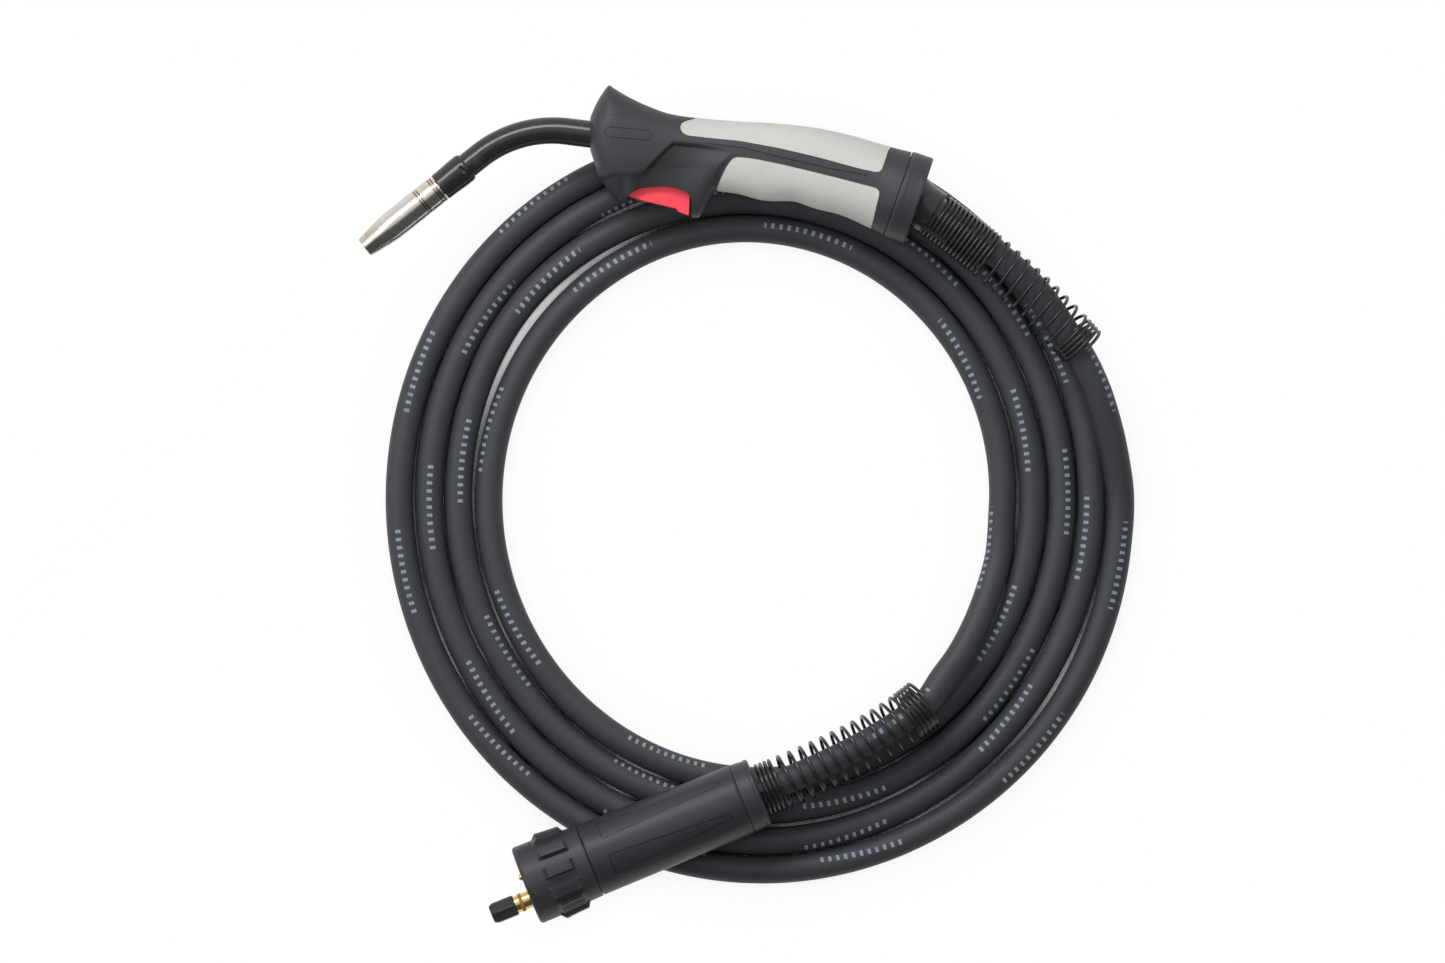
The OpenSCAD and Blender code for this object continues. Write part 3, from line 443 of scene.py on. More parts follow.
def build(name, grid, finish, body, stands_for=(), wrap=(False, True), crease=34.0):
    """A closed mesh from a grid of points in millimetres: four-sided faces between neighbours, one
    flat face over each open end, and a map of metres along the rows and turns round the columns."""
    rows, columns = grid.shape[:2]
    i = np.arange(rows if wrap[0] else rows - 1)[:, None]
    j = np.arange(columns if wrap[1] else columns - 1)[None, :]
    i, j = np.broadcast_arrays(i, j)
    corners = [(i, j), (i, j + 1), (i + 1, j + 1), (i + 1, j)]
    quads = np.stack([(a % rows) * columns + b % columns for a, b in corners], axis=-1)
    step = np.linalg.norm(grid - np.roll(grid, 1, axis=0), axis=-1).mean(axis=1) / 1000
    length = np.concatenate([[0.0], np.cumsum(step[1:]), [step[1:].sum() + step[0]]])
    maps = np.stack([np.stack([length[a], b / columns], axis=-1) for a, b in corners], axis=2)
    faces = quads.reshape(-1, 4).tolist()
    if not wrap[0]:
        faces += [list(range(columns)), list(range((rows - 1) * columns, rows * columns))]
    mesh = bpy.data.meshes.new(name)
    mesh.from_pydata((grid.reshape(-1, 3) / 1000).tolist(), [], faces)
    layer = mesh.uv_layers.new(name="length_turn")
    values = np.zeros((len(mesh.loops), 2))
    values[: maps.size // 2] = maps.reshape(-1, 2)
    layer.data.foreach_set("uv", values.ravel())
    tidy(mesh, crease)
    piece = placed(name, mesh)
    mesh.materials.append(finish.material)
    if body is not None:
        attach(piece, body)
        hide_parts(*stands_for)
    return piece


def tidy(mesh, crease, join=True):
    """Shades smooth up to the crease angle; a new mesh first has its doubled points joined and its
    faces turned outwards."""
    work = bmesh.new()
    work.from_mesh(mesh)
    if join:
        bmesh.ops.remove_doubles(work, verts=work.verts, dist=2e-6)
        bmesh.ops.dissolve_degenerate(work, edges=work.edges, dist=1e-7)
        bmesh.ops.recalc_face_normals(work, faces=work.faces)
    limit = math.radians(crease)
    for face in work.faces:
        face.smooth = True
    for edge in work.edges:
        edge.smooth = edge.calc_face_angle(0.0) < limit
    work.to_mesh(mesh)
    work.free()


def carve(piece, cutter, operation="DIFFERENCE", crease=34.0):
    """Cuts one closed mesh by another, keeps the result in the piece and removes the cutter. The
    points stay as the cut leaves them, since joining them could open the mesh for the next cut."""
    change = piece.modifiers.new("cut", "BOOLEAN")
    change.operation = operation
    change.solver = "MANIFOLD"
    change.object = cutter
    graph = bpy.context.evaluated_depsgraph_get()
    result = bpy.data.meshes.new_from_object(piece.evaluated_get(graph))
    piece.modifiers.clear()
    piece.data = result
    bpy.data.objects.remove(cutter)
    tidy(result, crease, join=False)
    return piece


def rounded(outline, reach, steps):
    """A closed outline with its corners eased: at each one a quadratic curve that starts and ends
    at most `reach` from it and is drawn towards it."""
    points = np.asarray(outline, float)
    before = np.roll(points, 1, axis=0) - points
    after = np.roll(points, -1, axis=0) - points
    back, on = (np.linalg.norm(v, axis=1, keepdims=True) for v in (before, after))
    reach = np.broadcast_to(reach, len(points))[:, None]
    start = points + before / back * np.minimum(reach, 0.45 * back)
    end = points + after / on * np.minimum(reach, 0.45 * on)
    start, points, end = start[:, None], points[:, None], end[:, None]
    t = np.linspace(0, 1, steps + 1)[None, :, None]
    curve = (1 - t) ** 2 * start + 2 * t * (1 - t) * points + t**2 * end
    return curve.reshape(-1, 2)


def grown(outline, distance):
    """An outline moved outwards: each point along the perpendicular of its neighbours' chord."""
    chord = unit(np.roll(outline, -1, axis=0) - np.roll(outline, 1, axis=0) + 1e-9)
    area = np.sum(np.cross(outline, np.roll(outline, -1, axis=0)))
    out = np.stack([chord[:, 1], -chord[:, 0]], axis=1) * np.sign(area)
    return outline + distance * out


def turned(name, axis, profile, finish, body, stands_for, steps=112, crease=34.0):
    """A closed profile of (distance, radius) rows carried once round an axis."""
    profile = np.asarray(profile, float)
    grid = axis.at(profile[:, :1], profile[:, 1:], around(steps)[None, :])
    return build(name, grid, finish, body, stands_for, (True, True), crease=crease)


def circle(radius):
    """A round outline about the origin."""
    return radius * aim(np.linspace(0, 360, 32, endpoint=False))[:, :2]


def upright(name, outline, low, high):
    """A straight-sided cutter on an outline in the plane, between two heights."""
    rows = [np.column_stack([outline, np.full(len(outline), z)]) for z in (low, high)]
    return build(name, np.stack(rows), inner_black, None)


def swept(path, radius, sides, twist=0.0):
    """Rings round a path, Z kept up: path + radius * (cos * side + sin * up). The map's quarter
    turn is on top, plus the twist."""
    along = unit(np.gradient(path, axis=0))
    side = unit(np.cross(along, UP))
    up = np.cross(side, along)
    turn = around(sides)[None, :, None] + np.broadcast_to(twist, len(path))[:, None, None]
    return path[:, None] + radius * (np.cos(turn) * side[:, None] + np.sin(turn) * up[:, None])


def ease(value, low, high):
    """0 at low and 1 at high, as 3t^2 - 2t^3 between them."""
    t = np.clip((value - low) / (high - low), 0, 1)
    return t * t * (3 - 2 * t)


def hermite(t, start, leaving, end, arriving):
    """Cubic between two points, t from 0 to 1, with these slopes at them."""
    return (
        (1 + 2 * t) * (1 - t) ** 2 * start
        + t * (1 - t) ** 2 * leaving
        + t**2 * (3 - 2 * t) * end
        + t**2 * (t - 1) * arriving
    )


# ---- Cable ----

# The winding's start bearing, its first loop's mean radius, and its step in with each loop.
FIRST_BEARING = 30
LOOP_R = 217.8
LOOP_STEP = 16.8
# How far the connector's spring ends above the loops' own level.
CLIMB = 24.3


def bezier(start, leaving, end, arriving, t):
    """Cubic from start to end with handles a third of the gap long along both directions."""
    gap = np.linalg.norm(end - start)
    return hermite(np.asarray(t, float)[..., None], start, gap * leaving, end, gap * arriving)


def loop_radius(wound):
    """Radius of the winding: a spiral in by one pitch a turn, an uneven ring, local swells."""
    b = np.radians(FIRST_BEARING - wound)
    radius = LOOP_R - LOOP_STEP * wound / 360
    radius += -2.3 * np.cos(b) + 5.1 * np.sin(b) - 3.4 * np.cos(2 * b) - 1.3 * np.sin(2 * b)
    swells = [
        (1.0, 48, 20), (0.9, 66, 20), (0.8, 90, 45), (1.0, 168, 32), (0.7, 215, 60), (0.6, 262, 45),
        (0.9, 395, 28), (0.5, 474, 24), (1.0, 524, 34), (1.4, 620, 38),
        (0.8, 755, 28), (-0.6, 812, 45), (0.5, 885, 40), (2.1, 970, 20), (-0.8, 1030, 24),
        (0.6, 1115, 28), (-0.9, 1180, 50), (-1.5, 1337, 50), (0.7, 1368, 25),
        (1.0, 1472, 30), (-2.0, 1490, 40),
    ]
    for height, at, spread in swells:
        radius += height * np.exp(-(((wound - at) / spread) ** 2))
    return radius


def loop_point(wound):
    """A place on the winding, clockwise from its first bearing."""
    wound = np.asarray(wound, float)
    return COIL + loop_radius(wound)[..., None] * aim(FIRST_BEARING - wound)


def off_loop(rows, last, rise):
    """Places beside the winding, by bearing, extra radius and share of the rise above it."""
    return [
        loop_point(last - bearing) + extra * aim(bearing) + rise * share * UP
        for bearing, extra, share in rows
    ]


def through(points, spacing):
    """A smooth curve through points: on each stretch a cubic whose end slopes are the mean slopes
    of its neighbours, then evened out to one spacing."""
    gaps = np.linalg.norm(np.diff(points, axis=0), axis=1)
    at = np.concatenate([[0.0], np.cumsum(gaps)])
    slope = np.gradient(points, at, axis=0)
    fine = np.linspace(0, at[-1], int(at[-1] / spacing * 3))
    k = np.clip(np.searchsorted(at, fine, side="right") - 1, 0, len(gaps) - 1)
    h = gaps[k][:, None]
    t = (fine - at[k])[:, None] / h
    curve = hermite(t, points[k], h * slope[k], points[k + 1], h * slope[k + 1])
    run = np.concatenate([[0.0], np.cumsum(np.linalg.norm(np.diff(curve, axis=0), axis=1))])
    even = np.linspace(0, run[-1], int(run[-1] / spacing) + 1)
    return np.stack([np.interp(even, run, curve[:, axis]) for axis in range(3)], axis=1)


HANDLE_SPRING_PATH = (
    STUB_LINE.at(16.0, 0.0, 0.0), STUB_LINE.along, BALL + (100.4, -87.1, -11.85), aim(-49, -8)
)
CONNECTOR_SPRING_PATH = (
    CONNECTOR_LINE.at(146.1, 0.0, 0.0),
    CONNECTOR_LINE.along,
    COIL + 150 * aim(-49) + CLIMB * UP,
    aim(40, -8),
)


def cable_route():
    """Out of the swivel and down its spring, against the spring's outer side half way and its inner
    side at the end, down onto the floor, round the loops, up from the inner one and back through
    the other spring into the connector."""
    drop = 22.65
    share = np.linspace(0, 1, 15)
    led = bezier(*HANDLE_SPRING_PATH, share)
    lean = 4.2 * np.sin(math.pi * share) - 3.4 * ease(share, 0.55, 1.0)
    led = led + lean[:, None] * aim(48)
    down = [(20, -4.8, 0.86), (14, -3.1, 0.64), (8, -1.5, 0.38), (2, 0.2, 0.13)]
    rise = [(-12, 1.8, 0.08), (-20, 2.2, 0.27), (-28, 3.2, 0.5), (-36, 4.3, 0.72), (-43, 5, 0.89)]
    start, leaving, end, arriving = CONNECTOR_SPRING_PATH
    return np.concatenate(
        [
            [STUB_LINE.at(3.0, 0.0, 0.0)],
            led,
            off_loop(down, FIRST_BEARING, drop),
            loop_point(np.linspace(36, 1472, 380)),
            off_loop(rise, FIRST_BEARING + 4 * 360, CLIMB),
            bezier(end, -arriving, start, -leaving, np.linspace(0, 1, 13)),
            [CONNECTOR_LINE.at(90.0, 0.0, 0.0)],
        ]
    )


cable_path = through(cable_route(), 3.4)
cable_run = np.linspace(0, 1, len(cable_path))
cable_twist = 0.7 * np.sin(cable_run * 38.0) + 0.3 * np.sin(cable_run * 91.0)
cable = build(
    "cable", swept(cable_path, CABLE_R, 30, cable_twist), rubber, "cable",
    ("cable_coil", "handle_lead", "connector_lead"),
)


def coiled(name, path, radius, counts, node):
    """A round wire wound about a curve: turns that touch at both ends and open ones between."""
    wire = 2.0
    closed = 2.7
    turns = sum(counts)
    turn = np.linspace(0, turns, turns * 22 + 1)
    line = bezier(*path, np.linspace(0, 1, 41))
    length = np.linalg.norm(np.diff(line, axis=0), axis=1).sum()
    pitch = (length - wire - closed * (counts[0] + counts[2])) / counts[1]
    run = closed * np.minimum(turn, counts[0]) + wire / 2
    run += pitch * np.clip(turn - counts[0], 0, counts[1])
    run += closed * np.maximum(turn - counts[0] - counts[1], 0)
    here = bezier(*path, run / length)
    along = unit(bezier(*path, run / length + 0.01) - here)
    side = unit(np.cross(along, UP))
    up = np.cross(side, along)
    angle = 2 * math.pi * turn[:, None]
    out = np.cos(angle) * up + np.sin(angle) * side
    k = around(12)[None, :, None]
    grid = (here + radius * out)[:, None] + wire / 2 * (
        np.cos(k) * out[:, None] - np.sin(k) * along[:, None]
    )
    return build(name, grid, spring_black, "cable", (node,), crease=50.0)


handle_guard = coiled("handle_guard", HANDLE_SPRING_PATH, 13.35, (14, 9, 4), "handle_spring")
connector_guard = coiled(
    "connector_guard", CONNECTOR_SPRING_PATH, 15.0, (4, 12, 5), "connector_spring"
)


def swivel_stub():
    """The ball and its glossy neck in one turned shape: sqrt(r^2 - d^2) to the neck, a fine rim
    where the coils begin, a thinner sleeve inside the first ones, and the cable's bore. A cone on
    the handle's rear line opens the ball, so the core has room as the ball turns."""
    ball = [(d, math.sqrt(BALL_R**2 - d * d)) for d in np.linspace(-11.9, 4.6, 26)]
    profile = [
        (-11.6, 8.6), *ball, (5.4, 14.05), (6.4, 13.9), (14.3, 13.9), (14.5, 13.5), (14.7, 13.5),
        (14.9, 14.1), (15.2, 14.3), (15.6, 14.2), (15.7, 13.9), (15.75, 11.0), (30.6, 11.0),
        (31.0, 10.6), (31.0, 8.3), (3.0, 8.3), (3.0, 6.2), (-2.0, 6.2),
    ]
    stub = turned(
        "swivel_stub", STUB_LINE, profile, stub_gloss, "cable", ("swivel_ball",),
        120, crease=24.0,
    )
    mouth = REAR_LINE.at(np.array([[-16.0], [-1.0]]), np.array([[13.0], [6.0]]), around(96))
    return carve(stub, build("mouth_cutter", mouth, inner_black, None), crease=24.0)


swivel_stub()

# ---- Neck ----

# Where the bend begins behind the contact tip's mouth, and its radius.
BEND_FROM = 81.9
BEND_R = 68.0


def neck_path(start, inside):
    """Straight back from the nozzle, round the bend, and straight into the grip."""
    back = aim(NECK_YAW)
    centre = BEND_FROM * back - BEND_R * aim(NECK_YAW + 90.0)
    bend = centre + BEND_R * aim(np.linspace(NECK_YAW, GRIP_YAW, 70) + 90.0)
    end = bend[-1] + np.linspace(2, inside, 12)[:, None] * aim(GRIP_YAW)
    return np.concatenate([[start * back, 78.0 * back], bend, end])


def neck_sleeve():
    """Outer rings out along the neck and inner ones back, closed at both ends."""
    path = neck_path(71.9, 22.6)
    radius = np.linspace(7.5, 7.85, len(path))[:, None, None]
    outer, lip, inner = (swept(path, r, 56) for r in (radius, 7.1, 5.2))
    first = outer[:1] + 0.4 * aim(NECK_YAW)
    grid = np.concatenate([lip[:1], first, outer[1:], inner[::-1]])
    return build(
        "neck_sleeve", grid, sleeve_gloss, "handle", ("gooseneck_sleeve",),
        wrap=(True, True),
    )


neck_sleeve()


def collar():
    """Radius over length and turn: an eased front edge, a slight swell towards the rear, a rounded
    shoulder down onto the neck, and one small dimple on top."""
    turn = around(120)[None, :]
    front = 52.9 + 0.7 * (1 - np.cos(np.linspace(0, math.pi / 2, 6)))
    rear = 70.4 + 2.6 * np.sin(np.linspace(0, math.pi / 2, 14))
    out = np.concatenate([front, np.linspace(54, 70, 60), rear])[:, None]
    swell = 8.45 + 0.5 * ease(out, 54, 69)
    swell -= 0.7 * (1 - np.sqrt(np.clip(1 - ((53.6 - out) / 0.7).clip(0, 1) ** 2, 0, 1)))
    swell -= 1.6 * (1 - np.sqrt(np.clip(1 - ((out - 70.4) / 2.6).clip(0, 1) ** 2, 0, 1)))
    across = (np.mod(turn - 1.62 + math.pi, 2 * math.pi) - math.pi) * 8.8
    dent = np.exp(-((((out - 69.3) / 1.0) ** 2 + (across / 2.1) ** 2) ** 2))
    outer = swell - 0.8 * dent
    along = np.concatenate([[[52.9]], out, [[73.0], [71.0]]])
    bore = np.full((1, 120), 5.0)
    radius = np.concatenate([bore, outer, bore + 2.2, bore])
    return build(
        "collar", NOZZLE_LINE.at(along, radius, turn), sleeve_gloss, "handle",
        ("neck_collar",), (True, True),
    )


collar()


def nozzle():
    """Tapered mouth, straight barrel, two pairs of fine grooves and a bore that narrows."""
    grooves = []
    for at in GROOVES:
        grooves += [(at - 0.42, 8.5), (at - 0.12, 8.1), (at + 0.12, 8.1), (at + 0.42, 8.5)]
    profile = [
        (-3, 4.95), (-3, 5.75), (-2.85, 5.9), (4.4, 7.02), (11.5, 8.0), (14.2, 8.32), (16.5, 8.47),
        (18.5, 8.5), *grooves, (52.2, 8.5), (52.5, 8.3), (52.5, 7.45), (17, 7.4), (12, 7.0),
    ]
    return turned(
        "nozzle", NOZZLE_LINE, profile, nozzle_nickel, "nozzle", ("gas_nozzle",),
        128, crease=22.0,
    )


nozzle()

# ---- Handle ----

# Top and bottom of the outline from the neck's entry, half width, squareness of the oval, and how
# much smaller the hollow is in height and in width.
SECTIONS = np.array([
    (1, 9.5, 1, -9.5, 9.5, 2, 1.65, 1.65),
    (3.2, 15, 3.2, -16.2, 15.4, 2, 7.75, 7.55),
    (7.3, 22.5, 7, -27.5, 19.2, 2.05, 17.15, 11.35),
    (11.9, 28.1, 14, -38.1, 20.8, 2.1, 16.5, 9.8),
    (15, 26.3, 18.5, -40.1, 20.9, 2.2, 12, 7),
    (21.1, 22.6, 22.5, -38.5, 20.6, 2.25, 7, 4.5),
    (32.7, 16.9, 31, -33.6, 19.6, 2.3, 3.2, 3.2),
    (48, 11.5, 46, -32.4, 18.3, 2.35, 2.6, 2.6),
    (64.5, 9.1, 63, -32.2, 17.6, 2.4, 2.6, 2.6),
    (85, 7.3, 83, -33.9, 18.1, 2.4, 2.6, 2.6),
    (107, 6.1, 103.5, -38, 18.7, 2.4, 2.6, 2.6),
    (129, 3.8, 124, -42.1, 19.3, 2.4, 2.6, 2.6),
    (150, -0.5, 143.5, -46.1, 20.4, 2.35, 2.6, 2.6),
    (171.5, -6.6, 160, -53, 22.6, 2.2, 2.6, 2.6),
    (186.9, -10.5, 170.4, -58.3, 25.3, 2, 5.1, 5.1),
], float)
LAST = len(SECTIONS) - 1
# Where the finger scoop begins, the ridge where it ends, and the cheeks' edge above the lever.
SCOOP_EDGE = [
    (83.6, -9.1), (62.8, -5.7), (49, -4.5), (44.3, -8.6), (37.4, -15.5), (32.8, -20.7),
    (29.3, -22.4), (15.5, -22.6), (5.7, -25.3), (0, -27),
]
RIDGE = [(63.9, -48), (64.6, -43), (67.4, -35), (69.7, -29.2), (76.6, -18.8), (83, -11.9)]
CHEEK_EDGE = [
    (20, -62), (20.5, -41), (21.4, -38.6), (22.9, -35.9), (26.5, -33.2), (31, -31.6),
    (36.2, -31.0), (44.3, -30.7), (49.5, -31.3), (53.5, -32.5), (57, -34.2), (59.4, -37.2),
    (59.6, -44), (59.6, -62),
]
UPPER_PAD = [
    (62.8, 8.6), (57.2, 7.6), (53.2, 5.4), (53.4, 1.4), (56.6, -1.3), (72, -3), (87.6, -4.5),
    (110.7, -8.8), (133.8, -14.3), (156.8, -20.7), (168.6, -23.2), (174.6, -6), (190, 22), (66, 22),
]
LOWER_PAD = [
    (73.8, -62), (73.8, -34), (75.5, -28.2), (80.2, -18.8), (84.2, -13.7), (94.5, -14.7),
    (110.7, -18), (129.1, -22.4), (145.3, -26.4), (168.4, -32.6), (161.6, -62),
]
# Each pad's outline and the section from which its layer is made.
PADS = {"upper": (UPPER_PAD, 7.1), "lower": (LOWER_PAD, 8.3)}
PAD_GAP = 0.3
# Outer and inner radius of the handle's end inside the lock ring.
SPIGOT_R = (22.8, 20.2)
# The lever's slot: its outline and half its width.
SLOT = [(22, -60), (59.6, -60), (59.6, -20), (22, -20)]
SLOT_HALF = 9.4
# The screws under the left half, with the depth from the parting plane to each seat.
SCREWS = [(38, 8, 10.0), (89, -24.5, 11.4), (147, -35, 13.5)]


def monotone(rows, at):
    """Cubic through evenly numbered rows with no overshoot: at each row the harmonic mean of the
    two slopes, or none where they turn back."""
    step = np.diff(rows, axis=0)
    before, after = step[:-1], step[1:]
    both = before * after
    mean = np.where(both > 0, 2 * both / np.where(both > 0, before + after, 1), 0)
    slope = np.concatenate([step[:1], mean, step[-1:]])
    k = np.clip(at.astype(int), 0, len(rows) - 2)
    t = (at - k)[:, None]
    return hermite(t, rows[k], slope[k], rows[k + 1], slope[k + 1])


def inside_by(x, y, outline):
    """Distance to an outline, positive inside: the least one to its edges, signed by crossings."""
    least, crossings = np.full(x.shape, 1e9), np.zeros(x.shape)
    for (ax, ay), (bx, by) in zip(outline, np.roll(outline, -1, axis=0)):
        dx, dy = bx - ax, by - ay
        t = np.clip(((x - ax) * dx + (y - ay) * dy) / (dx * dx + dy * dy), 0, 1)
        least = np.minimum(least, np.hypot(x - ax - t * dx, y - ay - t * dy))
        crosses = (ay > y) != (by > y)
        crossings += crosses & (x < ax + (y - ay) / np.where(dy == 0, 1e-9, dy) * dx)
    return np.where(crossings % 2 == 1, least, -least)


def oval_rows(at, angle, side, hollow):
    """Points on the ovals between the outline's top and bottom: along its height by
    sign(sin)|sin|^(2/n), out of the parting plane by |cos|^(2/n). On the outside, what lies below
    the cheek line is drawn down to make the guard behind the trigger, and the lower edge has one
    finger swell and one hollow."""
    rows = monotone(SECTIONS, at)
    top, bottom = rows[:, 0:2], rows[:, 2:4]
    reach = (top - bottom) / 2
    size = np.linalg.norm(reach, axis=1, keepdims=True)
    power = 2 / rows[:, 5:6]
    high = np.sign(np.sin(angle)) * np.abs(np.sin(angle)) ** power
    out = np.abs(np.cos(angle)) ** power
    shrink = (size - rows[:, 6:7]) / size if hollow else np.ones_like(size)
    width = rows[:, 4:5] - (rows[:, 7:8] if hollow else 0)
    plane = (top + bottom)[:, None] / 2 + reach[:, None] * (high * shrink)[..., None]
    if not hollow:
        x, y = plane[..., 0], plane[..., 1]
        draw = 1.25 * ease(x, 19, 27) * (1 - ease(x, 63, 74.5))
        wave = 2.1 * np.exp(-(((x - 119.5) / 9) ** 2)) - 0.9 * np.exp(-(((x - 98) / 9) ** 2))
        plane[..., 1] = y + draw * np.minimum(y + 20.0, 0.0) + wave * ease(-high, 0.3, 1.0)
    return np.concatenate([plane, (side * width * out)[..., None]], axis=-1)


def scoop_depth(x, y):
    """Share of the scoop's full depth: a short step down from its edge, fading to the ridge."""
    depth = inside_by(x, y, SCOOP_EDGE + [(0, -70), (63.9, -70)] + RIDGE)
    dish = 1 - ease(0.707 * ((x - 41) - (y + 12.6)), 2, 30)
    return ease(depth, 0, 2.8) * dish * (0.35 + 0.65 * ease(x, 22, 36))


def skin(at, columns, side, lift):
    """The handle's outer surface with its finger scoop, moved out along its normal by `lift`."""
    angle = np.linspace(-math.pi / 2, math.pi / 2, columns)[None, :]
    points = oval_rows(at, angle, side, False)
    normal = np.cross(np.gradient(points, axis=0), np.gradient(points, axis=1))
    normal[:, 0] = normal[:, 1] * (1, 1, 0)
    normal[:, -1] = normal[:, -2] * (1, 1, 0)
    normal = side * unit(normal + 1e-12)
    x, y = points[..., 0], points[..., 1]
    scoop = 2.8 * scoop_depth(x, y)
    beyond = inside_by(x, y, RIDGE + [(260, 40), (260, -90), (63.9, -90)])
    ridge = 1.1 * (1 - ease(beyond, -0.8, 1.4)) * ease(beyond, -16, -1) * ease(-y, 9, 19)
    return points + normal * (lift - scoop + ridge)[..., None] + GRIP


def pad_layer(name, side, place, out, into, gap):
    """A closed layer of the handle between two distances from its skin, inside a pad's outline with
    its corners eased and a gap added."""
    outline, first = PADS[place]
    at = np.linspace(first, LAST - 0.1, 150)
    grid = np.concatenate([skin(at, 90, side, out), skin(at, 90, side, -into)[:, ::-1]], axis=1)
    layer = build(name, grid, soft_pad, None)
    edge = grown(rounded(outline, 3.6, 6), gap) + GRIP[:2]
    return carve(layer, upright("pad_prism", edge, -60, 60), "INTERSECT")


def half_handle(side, name, node):
    """Skin out and hollow back, closed at the front and on the spigot, then cut for the trigger
    and the pads; the points keep the scoop's depth, from which the finish paints shade into the
    scoop."""
    at = np.linspace(0, LAST, 340)
    outer, inner = 116, 44
    inner_angle = np.linspace(math.pi / 2, -math.pi / 2, inner)
    body = np.concatenate(
        [skin(at, outer, side, 0.0), oval_rows(at, inner_angle[None, :], side, True) + GRIP], axis=1
    )
    angle = np.concatenate([np.linspace(-math.pi / 2, math.pi / 2, outer), inner_angle])[:, None]
    radius = np.repeat(SPIGOT_R, (outer, inner))[:, None]
    ring = radius * (np.sin(angle) * REAR_LINE.side + side * np.cos(angle) * UP)
    spigot = [BALL + distance * REAR_LINE.along + ring for distance in (-8.3, -2.3)]
    grid = np.concatenate([body, spigot])
    shell = build(name, grid, handle_plastic, "handle", (node,))
    carve(shell, upright("slot_cutter", SLOT + GRIP[:2], -SLOT_HALF, SLOT_HALF))
    carve(shell, upright("cheek_cutter", rounded(CHEEK_EDGE, 1.2, 4) + GRIP[:2], -30, 30))
    for place in PADS:
        carve(shell, pad_layer("pad_cutter", side, place, 1.0, 1.65, PAD_GAP))
    places = np.zeros(3 * len(shell.data.vertices))
    shell.data.vertices.foreach_get("co", places)
    x, y, _ = places.reshape(-1, 3).T * 1000
    # the scoop's depth on each point, which the finish turns into painted shade
    scoop_shade_share = shell.data.attributes.new("smooth", "FLOAT", "POINT")
    scoop_shade_share.data.foreach_set("value", scoop_depth(x - GRIP[0], y - GRIP[1]))
    return shell


def pad(side, place, word):
    """A soft pad: the skin's layer inside its rounded outline, a hair proud of the shell."""
    piece = pad_layer(f"{place}_pad_{word}", side, place, 0.12, 1.5, 0.0)
    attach(piece, "handle")
    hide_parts(f"{place}_grip_{word}")


for word, side in (("right", 1), ("left", -1)):
    shell = half_handle(side, f"shell_{word}", f"handle_shell_{word}")
    if side < 0:
        for x, y, depth in SCREWS:
            carve(shell, upright("screw_hole", circle(2.4) + GRIP[:2] + (x, y), -40, -depth))
    for place in PADS:
        pad(side, place, word)


def trigger():
    """A flat outline with eased corners, carried across with a slight waist and eased sides; its
    pull face has a fine comb of depth * (1 - cos) over twelve teeth."""
    corners = [
        (58.1, -47.3), (58.7, -36), (57, -26), (27, -24.4), (25, -30), (22.9, -36.1),
        (33.2, -39.3), (50.8, -43.4), (51.8, -45.0),
    ]
    eased = rounded(corners, [0.7, 1.5, 1, 1, 1, 0.8, 1, 0.4, 0.6], 4)
    face, fine, inwards = 34, 145, (0.23, 0.97)
    run = eased[face] + (eased[face + 1] - eased[face]) * np.linspace(0, 1, fine)[1:-1, None]
    outline = np.concatenate([eased[: face + 1], run, eased[face + 1 :]])
    comb = np.zeros((len(outline), 1))
    comb[face : face + fine, 0] = 0.15 * (1 - np.cos(np.linspace(0, 24 * math.pi, fine)))
    levels = [(7.6, 0.2, 1), (8.3, 0, 1), (8.6, 0.1, 0.9), (8.85, 0.4, 0.7), (9.0, 1, 0.5)]
    rows = []
    mirrored = [(-z, *rest) for z, *rest in levels[::-1]]
    for z, inset, teeth in mirrored + [(0.0, 2.4, 1)] + levels:
        row = grown(outline, -0.25 * inset) + comb * teeth * inwards + GRIP[:2]
        rows.append(np.column_stack([row, np.full(len(row), z)]))
    piece = build(
        "trigger_lever", np.stack(rows), trigger_red, "trigger", ("trigger",),
        crease=18.0,
    )
    hole = upright("pivot_hole", circle(1.55) + GRIP[:2] + (27.5, -27.5), -10, 10)
    return carve(piece, hole, crease=18.0)


trigger()


def ring_nut():
    """Lock ring: eased front, a band of fine turned lines, eased rear lip and a domed socket."""
    lines = [(-4.4 + 0.5 * i, 26.0 - (0.1 if i % 2 else 0.0)) for i in range(13)]
    dome = [(d, math.sqrt(17.8**2 - d * d)) for d in (4.9, 3, 1, -1, -2)]
    profile = [
        (-7.9, 22.95), (-7.9, 24.9), (-7.6, 25.5), (-7.0, 25.8), (-5.4, 26.0),
        *lines, (4.2, 26.0), (4.8, 25.6), (5.0, 25.0), *dome, (-2.1, 17.9), (-2.1, 22.95),
    ]
    return turned(
        "ring_nut", REAR_LINE, profile, ring_plastic, "handle", ("lock_ring",),
        144, crease=20.0,
    )


ring_nut()

# ---- Connector ----

NUT_FINGERS = 12


